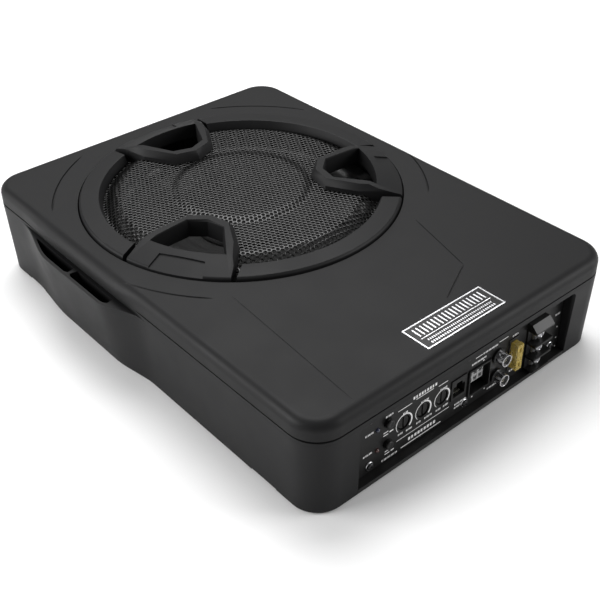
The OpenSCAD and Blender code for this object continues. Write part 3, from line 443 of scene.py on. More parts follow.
# %% Lofts, turnings and blocks
def loft(rings, loop=False):
    """Skin over rings with the same number of points. Its ends are capped, or joined if loop."""
    count = len(rings[0])
    points = np.concatenate([np.asarray(ring, float) for ring in rings])
    faces = []
    last = len(rings) if loop else len(rings) - 1
    for i in range(last):
        a, b = i * count, (i + 1) % len(rings) * count
        faces += [(a + k, a + (k + 1) % count, b + (k + 1) % count, b + k) for k in range(count)]
    if not loop:
        faces.append(tuple(range(count))[::-1])
        faces.append(tuple(range((len(rings) - 1) * count, len(rings) * count)))
    return points, faces


def turned(profile, steps=96, loop=False):
    """Turned shape about Z from (radius, height) pairs. With loop, the profile is a closed outline."""
    angles = np.arange(steps) * 2 * math.pi / steps
    rings = [np.stack([r * np.cos(angles), r * np.sin(angles), np.full(steps, z)], 1) for r, z in profile]
    return loft(rings, loop)


def prism(outline, low, high):
    """Upright prism over an outline of (x, y) pairs."""
    flat = np.asarray(outline, float)
    return loft([np.column_stack([flat, np.full(len(flat), z)]) for z in (low, high)])


def block(low, high, edge=0.0, steps=2):
    """Box between two corners, with rounded edges."""
    low, high = np.asarray(low, float), np.asarray(high, float)
    form = bmesh.new()
    bmesh.ops.create_cube(form, size=1)
    for vertex in form.verts:
        vertex.co = Vector((low + high) / 2 + np.array(vertex.co) * (high - low))
    if edge:
        bmesh.ops.bevel(form, geom=form.edges[:], offset=edge, segments=steps, profile=0.5, affect="EDGES")
    form.verts.index_update()
    shape = np.array([v.co for v in form.verts]), [tuple(v.index for v in f.verts) for f in form.faces]
    form.free()
    return shape


# %% [markdown]
# A shape is still only points and faces, so a copy can be moved, turned or mirrored with a
# line of arithmetic. The panel's fittings are drawn lying flat, like a turned part on its
# lathe, and `facing` then stands them on the panel.


# %% Join, move, turn and mirror

def joined(*shapes):
    """Several shapes as one."""
    points, faces, count = [], [], 0
    for some_points, some_faces in shapes:
        points.append(some_points)
        faces += [tuple(i + count for i in face) for face in some_faces]
        count += len(some_points)
    return np.concatenate(points), faces


def moved(shape, x=0.0, y=0.0, z=0.0):
    return shape[0] + np.array([x, y, z]), shape[1]


def spun(shape, degrees):
    """The shape turned about the Z axis."""
    a = math.radians(degrees)
    turn = np.array([[math.cos(a), math.sin(a), 0], [-math.sin(a), math.cos(a), 0], [0, 0, 1]])
    return shape[0] @ turn, shape[1]


def mirrored(shape):
    """The shape reflected across the cabinet's middle."""
    return shape[0] * np.array([-1, 1, 1]), [face[::-1] for face in shape[1]]


def facing(shape, x, z, y=FACE_Y):
    """Lays a shape on the control panel: its Z comes out towards the user and its Y points up."""
    points = shape[0]
    return np.stack([points[:, 0] + x, y - points[:, 2], points[:, 1] + z], 1), shape[1]


def smooth(t):
    """Rises from 0 to 1 with no corner at either end."""
    t = np.clip(t, 0, 1)
    return t * t * (3 - 2 * t)


# %% [markdown]
# ## From shape to piece
# Windows, grooves and sockets are cut with Boolean modifiers. A narrow Bevel modifier then
# breaks the edges, because a moulded or stamped edge is never sharp and catches a line of
# light. Weighted normals keep the large flat faces flat right up to their rounded edges. The
# modifiers are turned into plain mesh at once, so that every piece is finished where it is made.


# %% Make a piece
def mesh_object(name, shape):
    mesh = bpy.data.meshes.new(name)
    mesh.from_pydata((shape[0] * MM).tolist(), [], shape[1])
    obj = bpy.data.objects.new(name, mesh)
    bpy.context.collection.objects.link(obj)
    clean(obj)
    return obj


def clean(obj, reach=0.004):
    """Joins points that coincide, drops faces with no area and turns all faces outwards."""
    form = bmesh.new()
    form.from_mesh(obj.data)
    bmesh.ops.remove_doubles(form, verts=form.verts, dist=reach * MM)
    bmesh.ops.dissolve_degenerate(form, edges=form.edges, dist=reach * MM)
    bmesh.ops.recalc_face_normals(form, faces=form.faces)
    form.to_mesh(obj.data)
    form.free()


def settle(obj):
    """Turns an object's modifiers into its mesh."""
    graph = bpy.context.evaluated_depsgraph_get()
    mesh = bpy.data.meshes.new_from_object(obj.evaluated_get(graph))
    obj.modifiers.clear()
    old, obj.data = obj.data, mesh
    bpy.data.meshes.remove(old)


def combine(obj, operation, shape):
    """Adds a shape to an object, or takes it away."""
    tool = mesh_object("tool", shape)
    modifier = obj.modifiers.new("combine", "BOOLEAN")
    modifier.operation = operation
    modifier.solver = "EXACT"
    modifier.object = tool
    settle(obj)
    bpy.data.objects.remove(tool)


# %% [markdown]
# Every piece goes through the same steps: cut it, clean it, break its edges, smooth its faces,
# give it a finish, and put it on the body that it moves with. One function does this, so that
# no piece is left without a body or a finish.

def piece(name, shape, slot, body="housing", stands_for=(), steps=(), edge=0.0, sharp=35, edge_steps=2):
    """A finished piece. steps are (operation, shape) pairs, and edge is the width of its broken edges."""
    obj = mesh_object(name, shape)
    for operation, tool_shape in steps:
        combine(obj, operation, tool_shape)
    if steps:
        clean(obj)
    if edge:
        bevel = obj.modifiers.new("edge", "BEVEL")
        bevel.width = edge * MM
        bevel.segments = edge_steps
        bevel.limit_method = "ANGLE"
        bevel.angle_limit = math.radians(sharp)
        bevel.use_clamp_overlap = True
        settle(obj)
    obj.data.polygons.foreach_set("use_smooth", [True] * len(obj.data.polygons))
    obj.data.set_sharp_from_angle(angle=math.radians(max(sharp, 40)))
    weights = obj.modifiers.new("flat faces", "WEIGHTED_NORMAL")
    weights.keep_sharp = True
    settle(obj)
    obj.data.materials.clear()
    obj.data.materials.append(finishes[slot])
    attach(obj, body)
    if stands_for:
        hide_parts(*stands_for)
    print(f"{name}: {len(obj.data.polygons)} faces")
    return obj


# %% [markdown]
# ## The cabinet's outline
# The cover and the side frame share one outline, a rectangle with round corners. It is held
# as stations: each is a point on the line that joins the corner centres and the direction
# that points out from there. An inset, a swelling or a lean is then one number per station,
# which is how the side pockets can grow out of a straight wall without a seam.


# %% Stations round the cabinet
def walk(side_steps=75, end_steps=9, corner_steps=11):
    """Stations round the cabinet, counter-clockwise from the front right corner: (x, y, out x, out y)."""
    x, y = HALF_W - CORNER_R, HALF_L - CORNER_R
    rows = []
    corners = [(x, -y, x, y, 0), (x, y, -x, y, 90), (-x, y, -x, -y, 180), (-x, -y, x, -y, 270)]
    for x0, y0, x1, y1, angle in corners:
        count = side_steps if angle % 180 == 0 else end_steps
        out = math.cos(math.radians(angle)), math.sin(math.radians(angle))
        for t in np.linspace(0, 1, count):
            rows.append((x0 + (x1 - x0) * t, y0 + (y1 - y0) * t, *out))
        for k in range(1, corner_steps):
            a = math.radians(angle + 90 * k / corner_steps)
            rows.append((x1, y1, math.cos(a), math.sin(a)))
    return np.array(rows)


route = walk()
on_side = np.abs(route[:, 2]) > 0.999


def ring_at(z, inset=0.0, out=0.0):
    """The outline at height z, shrunk by inset and pushed out by out, which may differ by station."""
    reach = (CORNER_R - inset + out) * np.ones(len(route))
    return np.column_stack([
        route[:, 0] + reach * route[:, 2], route[:, 1] + reach * route[:, 3], np.full(len(route), z)])


# %% [markdown]
# The pockets and the cover's brow above them swell out along the long sides. Each swelling is
# a smooth rise multiplied by a smooth fall, so it leaves the wall without a crease.


# %% Swelling of the side pockets
POCKET_Y0, POCKET_Y1, POCKET_OUT = -20, 130, frame_high[0] - HALF_W
POCKET_RISE, POCKET_FALL = 38, 52
BROW_RISE, BROW_FALL, BROW_OUT = 33, 54, cover_high[0] - HALF_W


def bulge(out, y, rise, fall):
    """How far a swelling of height out stands out at y."""
    return out * smooth((y - POCKET_Y0) / rise) * smooth((POCKET_Y1 - y) / fall)


def swell_at(y):
    """How far a side pocket stands out at y."""
    return bulge(POCKET_OUT, y, POCKET_RISE, POCKET_FALL)


swell = np.where(on_side, swell_at(route[:, 1]), 0)
brow = np.where(on_side, bulge(BROW_OUT, route[:, 1], BROW_RISE, BROW_FALL), 0)
print(len(route), "stations, pockets stand out", round(POCKET_OUT, 2), "mm")

# %% [markdown]
# ## The top cover
# The cover is an injection moulding: a flat deck, a rounded edge and a short skirt, with a
# deep round well that the woofer and its grille sit in. It is made as a closed block over
# the outline, hollowed from below, and then the well, the styling lines and the badge's seat
# are cut. The lines are shallow V grooves whose ends run out, as an engraver would cut them.

# %% The cover's grooves
LINE_R = RING_R + 17.6


def groove(path, width=1.5, depth=0.8, fade=0.12):
    """V-shaped cutter along a path of (x, y) points on the deck, running out at both ends."""
    path = np.asarray(path, float)
    ahead = np.gradient(path, axis=0)
    ahead /= np.linalg.norm(ahead, axis=1)[:, None]
    side = np.column_stack([-ahead[:, 1], ahead[:, 0]])
    share = np.linspace(0, 1, len(path))
    deep = depth * np.clip(np.minimum(share, 1 - share) / fade + 0.12, 0, 1)
    rings = []
    for point, across, d in zip(path, side, deep):
        w = width / 2 * (0.35 + 0.65 * d / depth)
        rows = [(-w - 0.4, 0.6), (-w, 0), (-w * 0.35, -d), (w * 0.35, -d), (w, 0), (w + 0.4, 0.6)]
        rings.append([(*(point + across * u), DECK_Z + v) for u, v in rows])
    return loft(rings)


def arc_path(start_angle, end_angle, radius, count=40):
    angles = np.radians(np.linspace(start_angle, end_angle, count))
    return np.column_stack([radius * np.cos(angles), RING_Y + radius * np.sin(angles)])


def line_path(start_point, end_point, count=12):
    t = np.linspace(0, 1, count)[:, None]
    return np.array(start_point) * (1 - t) + np.array(end_point) * t


LINE_SPANS = ((28, 64), (116, 152), (189, 225), (315, 351))
CREASES = (
    ((-82.5, -51.5), (-91.5, -164.5)),
    ((59.6, -64.4), (43.7, -121)),
    ((43.7, -121), (10.4, -137.8)),
)
line_cutters = [groove(arc_path(a, b, LINE_R)) for a, b in LINE_SPANS]
crease_cutters = [groove(line_path(a, b), width=1.1, depth=0.5, fade=0.05) for a, b in CREASES]

# %% [markdown]
# The deck meets the skirt in a fillet, which is made by the rings themselves: each one is
# higher and further in along a quarter circle. A bevel could do it, but it would have to
# cross the grooves. The well is added as a tube before it is bored, so that it has a wall
# below the deck, and its bore leaves a ledge for the grille ring.

# %% Cut the cover
EDGE_R = 6
WELL_R = RING_R + 0.8
FILLET_STEPS = 8
fillet = [math.radians(90 * k / FILLET_STEPS) for k in range(FILLET_STEPS + 1)]
FLAT_START = 0.4
cover_rings = [ring_at(PARTING_Z, 0.25, brow), ring_at(PARTING_Z + 0.25, 0, brow)]
for a in fillet:
    rise, inset = EDGE_R * math.sin(a), EDGE_R * (1 - math.cos(a))
    cover_rings.append(ring_at(DECK_Z - EDGE_R + rise, inset, brow * (1 - math.sin(a))))
cover_rings.append(ring_at(DECK_Z, EDGE_R + FLAT_START))
hollow = loft([
    ring_at(PARTING_Z - 1, WALL), ring_at(DECK_Z - EDGE_R - 0.01, WALL),
    ring_at(DECK_Z - EDGE_R, WALL + EDGE_R - 1), ring_at(DECK_Z - WALL, WALL + EDGE_R - 1)])
WELL_WALL = 2.5
SEAT_T = 3
SEAT_HOLE_R = 95
WELL_STEPS = 160
tube_profile = [(WELL_R + WELL_WALL, LEDGE_Z - SEAT_T), (WELL_R + WELL_WALL, DECK_Z - 1.5)]
bore_profile = [
    (SEAT_HOLE_R, LEDGE_Z - SEAT_T - 1), (SEAT_HOLE_R, LEDGE_Z), (WELL_R, LEDGE_Z), (WELL_R, DECK_Z - 0.5),
    (WELL_R + 0.15, DECK_Z - 0.15), (WELL_R + 0.6, DECK_Z), (WELL_R + 1.6, DECK_Z + 1)]
well_tube = moved(turned(tube_profile, WELL_STEPS), y=RING_Y)
well_bore = moved(turned(bore_profile, WELL_STEPS), y=RING_Y)
badge_low, badge_high = span("badge_plate")
BADGE_GAP = 0.2
badge_seat = block(
    badge_low - (BADGE_GAP, BADGE_GAP, 0),
    (badge_high[0] + BADGE_GAP, badge_high[1] + BADGE_GAP, DECK_Z + 1))
piece(
    "top_cover_shell", loft(cover_rings), "cabinet_paint", stands_for=["top_cover"],
    steps=[
        ("DIFFERENCE", hollow), ("UNION", well_tube), ("DIFFERENCE", well_bore),
        ("DIFFERENCE", joined(*line_cutters, crease_cutters[0], crease_cutters[1])),
        ("DIFFERENCE", joined(crease_cutters[2], badge_seat))])

# %% [markdown]
# ## The side frame
# The wall under the cover leans in towards the floor so that the moulding leaves its tool,
# and on each long side it swells into a scooped pocket with two open cells. One loft does all
# of it: the outline rises through the wall, rounds over the pocket's rim, runs in across the
# ledge, and comes back down inside. Where there is no pocket the rim's rings fall together.

# %% The frame's wall
RIM_Z = FRAME_TOP - 2
FOOT_SHARE = 0.4
RIM_ROUND = 0.9


def wall_ring(z):
    """Outline of the leaning wall and its pockets at height z, up to the rim."""
    rise = (z - FOOT_Z) / (RIM_Z - FOOT_Z)
    belly = FOOT_SHARE + (1 - FOOT_SHARE) * rise ** 0.85
    return ring_at(z, DRAFT * (1 - rise), swell * belly)


FOOT_BREAK = 0.5
wall_rings = [ring_at(FOOT_Z, DRAFT + FOOT_BREAK, swell * FOOT_SHARE), wall_ring(FOOT_Z + FOOT_BREAK)]
wall_rings += [wall_ring(FOOT_Z + rise) for rise in (3, 8, 14, 20, 27, 34, 41, 47)]
rim_round = np.minimum(RIM_ROUND, swell / 2)
for a in (0, 30, 60, 90):
    drop = RIM_ROUND * (1 - math.sin(math.radians(a)))
    wall_rings.append(ring_at(RIM_Z - drop, 0, swell - rim_round * (1 - math.cos(math.radians(a)))))
wall_rings += [ring_at(RIM_Z, 0), ring_at(FRAME_TOP - 0.2, 0), ring_at(FRAME_TOP, 0.2)]
wall_rings += [ring_at(FRAME_TOP, WALL)]
wall_rings += [ring_at(RIM_Z, WALL + 0.1 + 2 * (swell > 0)), ring_at(FOOT_Z, WALL + DRAFT)]

# %% [markdown]
# Each pocket is open at the top in two cells with a web between. A straight-sided cutter
# would come through the leaning skin, so the cutter follows the skin in plan and leans with it.


# %% Cutter for a pocket's cell
SKIN = 2
CELL_IN = 2.6
CELL_DEPTH = 30
CELL_ENDS = ((11, 53.75), (56.25, 105))
CELL_LEAN = math.atan2(POCKET_OUT * (1 - FOOT_SHARE) + DRAFT, RIM_Z - FOOT_Z)


def cell(y0, y1, count=18, corner=2.4):
    """Cutter for one open cell on the right side: it follows the skin and leans in with it."""
    ys = np.linspace(y0, y1, count)
    outer = []
    for y in ys:
        near_end = min(1, (y - y0) / corner, (y1 - y) / corner)
        outer.append((max(CELL_IN + 0.6, swell_at(y) - SKIN - corner * (1 - near_end ** 0.5) * 0.5), y))
    plan = [(CELL_IN, y0 + corner * 0.4), *outer, (CELL_IN, y1 - corner * 0.4)]
    middle = np.array([(CELL_IN + np.max([u for u, _ in outer])) / 2, (y0 + y1) / 2])
    rings = []
    for z, grow in ((-CELL_DEPTH, 0.94), (-0.5, 1.0), (0.0, 1.02), (1.0, 1.07)):
        flat = middle + (np.array(plan) - middle) * (1 + (grow - 1) * np.array([1, 0.25]))
        x = HALF_W + flat[:, 0] + z * math.tan(CELL_LEAN)
        rings.append(np.column_stack([x, flat[:, 1], np.full(len(flat), RIM_Z + z)]))
    return loft(rings)


# %% [markdown]
# The control panel lies back in a recess with round top corners and a flared mouth. A sleeve
# is added first, to give the recess its own walls, and then the window is cut through both.
# Four notches in the foot let the mounting brackets out.


# %% Recess, notches and the finished frame
PANEL_HALF = (panel_high[0] - panel_low[0]) / 2 + 0.2
PANEL_TOP = panel_high[2] + 0.2
RECESS_WALL = 2.5
SLEEVE_FOOT = 4.5
FLARE = 1.1


def arch(half, top, corner, y0, y1, flare=0.0):
    """Upright window with round top corners, from y0 to y1, that opens out by flare at y0."""
    def outline(grow):
        turn = [math.radians(a) for a in range(0, 91, 15)]
        centre, crown = half + grow - corner, top + grow - corner
        right_side = [(centre + corner * math.cos(a), crown + corner * math.sin(a)) for a in turn]
        left_side = [(-x, z) for x, z in reversed(right_side)]
        return [(half + grow, -1), *right_side, *left_side, (-half - grow, -1)]
    rows = [(y0, 0), (y1, 0)]
    if flare:
        rows = [(y0, flare), (y0 + flare, flare * 0.3), (y0 + flare * 2, 0), (y1, 0)]
    return loft([[(x, y, z) for x, z in outline(grow)] for y, grow in rows])


recess_sleeve = block(
    (-PANEL_HALF - RECESS_WALL, END_Y + DRAFT + 0.6, SLEEVE_FOOT),
    (PANEL_HALF + RECESS_WALL, BACK_Y, PANEL_TOP + RECESS_WALL))
recess_cut = arch(PANEL_HALF, PANEL_TOP, 3, END_Y + 0.4, BACK_Y + 6, flare=FLARE)
recess_mouth = arch(PANEL_HALF + FLARE, PANEL_TOP + FLARE, 4, END_Y - 3, END_Y + 0.41)
NOTCH_HALF, NOTCH_REACH, NOTCH_H = 11, 15, 1.2
INSERT_R = 3.7
notch_y = span("bracket_inserts")[1][1] - INSERT_R
notches = []
for sx in (-1, 1):
    for sy in (-1, 1):
        x, y = sx * HALF_W, sy * notch_y
        notches.append(block(
            (x - NOTCH_REACH, y - NOTCH_HALF, FOOT_Z - 2),
            (x + NOTCH_REACH, y + NOTCH_HALF, FOOT_Z + NOTCH_H)))
right_cells = [cell(y0, y1) for y0, y1 in CELL_ENDS]
piece(
    "side_frame_shell", loft(wall_rings, loop=True), "cabinet_paint", stands_for=["side_frame"],
    steps=[
        ("UNION", recess_sleeve), ("DIFFERENCE", recess_cut), ("DIFFERENCE", joined(recess_mouth, *notches)),
        ("DIFFERENCE", joined(*right_cells, *[mirrored(c) for c in right_cells]))])

# %% [markdown]
# ## The grille ring and its claws
# A moulded ring clamps the perforated sheet. Three claws grow from it over the sheet, each a
# bevelled bracket round an open window. The ring is turned, the claws are tapered prisms
# added to it, and then come the slope down to the rim, the windows, a shallow trapezoid step
# and the narrow notches either side. A bevel over the whole thing gives the facets their
# pale edges.

# %% Outlines of a claw
CLAW_ANGLES = (90, 210, 330)


def polar(radius, degrees):
    return radius * math.cos(math.radians(degrees)), radius * math.sin(math.radians(degrees))


def claw_outline(outer_r, half_angle, bends, tip, inset=0.0):
    """Outline of a claw or its window: an arc, bends (u, v) on one side and mirrored, and a tip."""
    arc = [polar(outer_r - inset * 0.3, a) for a in np.linspace(-half_angle, half_angle, 15)]
    side = [(u + inset * 0.35, v - inset * 1.05) for u, v in bends]
    return arc + side + [(tip + inset * 1.1, 0)] + [(u, -v) for u, v in reversed(side)]


CLAW_BENDS, CLAW_TIP = ((76, 29.5), (55.5, 17.5)), 48.5
WINDOW_BENDS, WINDOW_TIP = ((62.3, 12.3),), 58.2
CLAW_OUT_R, CLAW_HALF = 109.5, 18.6
WINDOW_OUT_R, WINDOW_HALF = 93, 16.3
SHEET_T = 0.9
MESH_RIM_Z = span("grille_mesh")[0][2] + SHEET_T
claw_levels = ((MESH_RIM_Z, 0), (CLAW_TOP - 4.2, 0.3), (CLAW_TOP, 3.4))
window_levels = (
    (LEDGE_Z, 1.6), (MESH_RIM_Z, 0.6), (CLAW_TOP - 1.5, 0), (CLAW_TOP, -0.9), (CLAW_TOP + 2, -2.4))


def raised(levels, *outline):
    """Prism whose outline is drawn in by a different amount at each level."""
    return loft([[(u, v, z) for u, v in claw_outline(*outline, inset)] for z, inset in levels])


claw = raised(claw_levels, CLAW_OUT_R, CLAW_HALF, CLAW_BENDS, CLAW_TIP)
window = raised(window_levels, WINDOW_OUT_R, WINDOW_HALF, WINDOW_BENDS, WINDOW_TIP)
print("claw", CLAW_TIP, "to", CLAW_OUT_R, "mm from the middle, top at", round(CLAW_TOP, 2))

# %% [markdown]
# The ring has one profile all the way round, so it is turned. The claws' outer ends slope
# down to the rim. That slope is a cone about the same centre, cut as a sector, and the step
# is cut parallel to it. The notches are wedges, because the real ones widen inwards.


# %% Ring, slopes, steps and notches
RIM_TOP = DECK_Z + 2.5
SKIRT = 4
BAND_IN = RING_R - 16
MESH_R = BAND_IN + 1.5
ring_profile = [
    (RING_R - SKIRT, LEDGE_Z), (RING_R, LEDGE_Z), (RING_R, DECK_Z + 0.7), (RING_R - 0.5, DECK_Z + 1.6),
    (RING_R - 1.5, RIM_TOP), (BAND_IN + 3.2, DECK_Z + 3.5), (BAND_IN + 2.4, DECK_Z + 3.2),
    (BAND_IN, DECK_Z - 2),
    (BAND_IN, MESH_RIM_Z + 0.05), (MESH_R + 0.2, MESH_RIM_Z + 0.05), (MESH_R + 0.2, MESH_RIM_Z - 2),
    (MESH_R + 2.7, MESH_RIM_Z - 2), (MESH_R + 2.7, DECK_Z - 1), (RING_R - SKIRT, DECK_Z - 1)]


def sector(profile, start_angle, end_angle, count=31):
    """Part of a turned shape between two angles."""
    rings = []
    for a in np.linspace(start_angle, end_angle, count):
        rings.append([(*polar(r, a), z) for r, z in profile])
    return loft(rings)


SLOPE_IN_R = 88
SLOPE_FOOT_Z = DECK_Z + 1.6


slope_out = RING_R + 1
above_slope = sector([
    (SLOPE_IN_R, CLAW_TOP), (slope_out, SLOPE_FOOT_Z),
    (slope_out, CLAW_TOP + 1), (SLOPE_IN_R, CLAW_TOP + 1)], -30, 30)


def slope_z(x, y, drop):
    """Height of the slope at a point, lowered by drop."""
    share = (math.hypot(x, y) - SLOPE_IN_R) / (RING_R + 1 - SLOPE_IN_R)
    return CLAW_TOP + (SLOPE_FOOT_Z - CLAW_TOP) * share - drop


STEP_DROP = 1
step_rows = []
for u, half in ((98, 15.5), (103, 16.7), (108, 18), (RING_R + 1, 19)):
    across = [(u, v) for v in np.linspace(-half, half, 7)]
    bottom = [(x, y, slope_z(x, y, STEP_DROP)) for x, y in across]
    step_rows.append(bottom + [(x, y, CLAW_TOP) for x, y in reversed(across)])
step = loft(step_rows)
NOTCH_PLAN = ((88, 31.9), (RING_R + 2, 36.5), (RING_R + 2, 39.3), (88, 36.7))
notch = prism(NOTCH_PLAN, DECK_Z - 6, CLAW_TOP + 1)
notch_mirror = prism([(u, -v) for u, v in NOTCH_PLAN], DECK_Z - 6, CLAW_TOP + 1)
slopes, openings = [], []
for angle in CLAW_ANGLES:
    slopes.append(spun(above_slope, angle))
    openings += [spun(tool, angle) for tool in (window, step, notch, notch_mirror)]
claws = joined(*[spun(claw, angle) for angle in CLAW_ANGLES])
ring_shape = turned(ring_profile, 192, loop=True)
piece(
    "grille_ring_moulding", moved(ring_shape, y=RING_Y), "cabinet_paint",
    stands_for=["grille_ring"], edge=0.45,
    steps=[("UNION", moved(claws, y=RING_Y)), ("DIFFERENCE", moved(joined(*slopes), y=RING_Y)),
           ("DIFFERENCE", moved(joined(*openings), y=RING_Y))])

# %% [markdown]
# ## The perforated sheet
# The sheet is steel with hexagonal holes, pressed so that its middle stands proud and its
# rim dips under the ring. An image or a see-through material would look flat from the side,
# so every hole is real: each cell of a honeycomb grid gets an inner hexagon, a wall through
# the sheet and a share of the bars between. The bars are crowned a little, as the press
# leaves them, and the grid then follows the pressed height.

# %% Honeycomb grid
PITCH = 3.2
BAR = 0.85
CROWN_R = 46
CROWN = 1.5
SHOULDER = span("grille_mesh")[1][2] - MESH_RIM_Z - CROWN
ROW = PITCH * math.sqrt(3) / 2
CORNER = PITCH / math.sqrt(3)


def sheet_height(r):
    """Height of the sheet's top face at radius r."""
    rim = 1 - smooth((r - (MESH_R - 13.6)) / 11.6)
    crown = 1 - smooth((r - (CROWN_R - 3.6)) / 7)
    return MESH_RIM_Z + SHOULDER * rim + CROWN * crown


def in_claw(u, v, margin=1.6):
    """Whether a point lies inside a claw's outline, margin in from its edge."""
    edge_u = [CLAW_TIP, *[bend[0] for bend in reversed(CLAW_BENDS)], CLAW_OUT_R]
    edge_v = [0, *[bend[1] for bend in reversed(CLAW_BENDS)], 35]
    return u > CLAW_TIP and abs(v) < np.interp(u, edge_u, edge_v) - margin


def seen_from_claw(x, y, angle):
    """A point as seen from the claw at this angle: how far along it and how far across."""
    ahead, across = polar(1, angle)
    return x * ahead + y * across, y * ahead - x * across


centres = []
reach = int(MESH_R / ROW) + 1
for j in range(-reach, reach + 1):
    for i in range(-reach - 2, reach + 3):
        x, y = (i + (j % 2) / 2) * PITCH, j * ROW
        if math.hypot(x, y) > MESH_R - 0.6:
            continue
        if not any(in_claw(*seen_from_claw(x, y, angle)) for angle in CLAW_ANGLES):
            centres.append((x, y))
print(len(centres), "holes in the sheet")

# %% [markdown]
# One cell is a hexagon within a hexagon. Its top face slopes a little towards the hole, its
# wall goes through the sheet, and its outer edge is shared with its neighbours once points
# that coincide are joined. Cells that cross the sheet's rim are pressed back onto the circle.

# %% Build the sheet
hexagon = np.array([polar(1, 30 + 60 * k) for k in range(6)])
INNER = CORNER - BAR / math.sqrt(3)
points, faces = [], []
for x, y in centres:
    base = len(points)
    for scale in (CORNER, INNER):
        for cx, cy in hexagon:
            px, py = x + scale * cx, y + scale * cy
            r = math.hypot(px, py)
            if r > MESH_R:
                px, py, r = px * MESH_R / r, py * MESH_R / r, MESH_R
            top = sheet_height(r) + (0.0 if scale == CORNER else -0.14)
            points.append((px, py, top))
            points.append((px, py, sheet_height(r) - SHEET_T))
    for k in range(6):
        n = (k + 1) % 6
        outer, outer_next = base + 2 * k, base + 2 * n
        inner, inner_next = base + 12 + 2 * k, base + 12 + 2 * n
        faces.append((outer, outer_next, inner_next, inner))
        faces.append((outer_next + 1, outer + 1, inner + 1, inner_next + 1))
        faces.append((inner, inner_next, inner_next + 1, inner + 1))
piece(
    "perforated_sheet", moved((np.array(points), faces), y=RING_Y), "grille_steel",
    stands_for=["grille_mesh"], sharp=60)

# %% [markdown]
# ## The woofer under the sheet
# Only the surround and the edge of the cone can be seen, through the claws' windows and the
# holes, but they set the depth of what is seen. The rubber half roll has one edge on the
# fixed flange and the other on the moving cone. A weight is worked out for each point from
# its distance to the axis, but nothing applies it.

# %% Surround
surround_low, surround_high = span("surround")
cone_low, cone_high = span("cone")
spider_low, spider_high = span("spider")
FLANGE_TOP = surround_low[2]
ROLL_R = surround_high[2] - FLANGE_TOP
CONE_R = cone_high[0] + 0.2
ROLL_MID = CONE_R + ROLL_R


def radial_blend(obj, inner_r, outer_r):
    """Bakes an object's placement into its mesh and works out a weight for each point from its distance to
    the axis, 0 inside inner_r and 1 outside outer_r. The weights are not applied.
    """
    outer_r * MM
    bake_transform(obj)
    places = np.array([v.co for v in obj.data.vertices]) / MM
    radius = np.hypot(places[:, 0], places[:, 1] - RING_Y)
    weights = smooth((radius - inner_r) / (outer_r - inner_r))


def soft_piece(name, shape, slot, node, inner_r, outer_r):
    """A smooth-shaded piece with a finish, standing in for an imported node that is hidden."""
    obj = mesh_object(name, shape)
    obj.data.polygons.foreach_set("use_smooth", [True] * len(obj.data.polygons))
    obj.data.materials.append(finishes[slot])
    radial_blend(obj, inner_r, outer_r)
    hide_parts(node)
    print(f"{name}: {len(obj.data.polygons)} faces")


SURROUND_SKIN = 1
roll_angles = [math.radians(a) for a in range(180, -1, -12)]
upper_roll = [(ROLL_MID + ROLL_R * math.cos(a), FLANGE_TOP + ROLL_R * math.sin(a)) for a in roll_angles]
inner_roll = ROLL_R - SURROUND_SKIN
lower_roll = [
    (ROLL_MID + inner_roll * math.cos(a), FLANGE_TOP + inner_roll * math.sin(a))
    for a in reversed(roll_angles)]
lip = [(surround_high[0], FLANGE_TOP + SURROUND_SKIN), (surround_high[0], FLANGE_TOP)]
roll_profile = upper_roll[:-1] + [(ROLL_MID + ROLL_R, FLANGE_TOP + SURROUND_SKIN), *lip] + lower_roll
soft_piece(
    "surround_roll", moved(turned(roll_profile, 144, loop=True), y=RING_Y), "surround_rubber",
    "surround", CONE_R, ROLL_MID + ROLL_R)

# %% [markdown]
# The spider is a corrugated cloth disc that keeps the voice coil in the middle of its gap. Its
# waves are a sine along the radius that dies out at both edges, where it is glued flat.

# %% Spider
FORMER_R = span("coil_former")[1][0]
SPIDER_R = spider_high[0]
SPIDER_Z = (spider_low[2] + spider_high[2]) / 2
SPIDER_T = 0.8
wave_r = np.linspace(FORMER_R + 0.05, SPIDER_R, 72)
fade = smooth((wave_r - FORMER_R) / 3) * smooth((SPIDER_R - 4 - wave_r) / 3)
wave_z = SPIDER_Z + SPIDER_T / 2 + 1.1 * fade * np.sin(2 * math.pi * (wave_r - FORMER_R) / 6)
spider_profile = [*zip(wave_r, wave_z), *zip(wave_r[::-1], wave_z[::-1] - SPIDER_T)]
soft_piece(
    "spider_disc", moved(turned(spider_profile, 96, loop=True), y=RING_Y), "spider_cloth",
    "spider", FORMER_R + 1, SPIDER_R - 4)

# %% [markdown]
# The paper cone is straight-sided with a few shallow rings pressed into it, which stiffen it.
# The cap over its middle keeps dust out of the gap. Both are turned shells with a real
# thickness, because their edges can be seen through the windows.

# %% Cone and dust cap
CONE_T = 1.2
NECK_Z = cone_low[2]
CONE_EDGE_Z = cone_high[2]
RIBS, RIB_H = 5, 0.25
along = np.linspace(0, 1, 30)
cone_r = FORMER_R + (CONE_R - 3.4 - FORMER_R) * along
ribs = RIB_H * np.sin(along * 2 * math.pi * RIBS) * smooth(along * 4) * smooth((1 - along) * 4)
cone_top = NECK_Z + CONE_T + (CONE_EDGE_Z - NECK_Z - CONE_T) * along + ribs
cone_profile = [*zip(cone_r, cone_top), (CONE_R - 0.3, CONE_EDGE_Z), (CONE_R - 0.3, CONE_EDGE_Z - CONE_T)]
cone_profile += [*zip(cone_r[::-1], cone_top[::-1] - CONE_T)]
cap_low, cap_high = span("dust_cap")
piece(
    "paper_cone", moved(turned(cone_profile, 144, loop=True), y=RING_Y), "cone_paper",
    body="cone_assembly", stands_for=["cone"], sharp=50)
cap_r = (cap_high[0] - cap_low[0]) / 2
cap_h = cap_high[2] - cap_low[2]
CAP_RIM, CAP_T = 0.6, 0.9
dome_angles = np.radians(np.linspace(90, 0.5, 16))
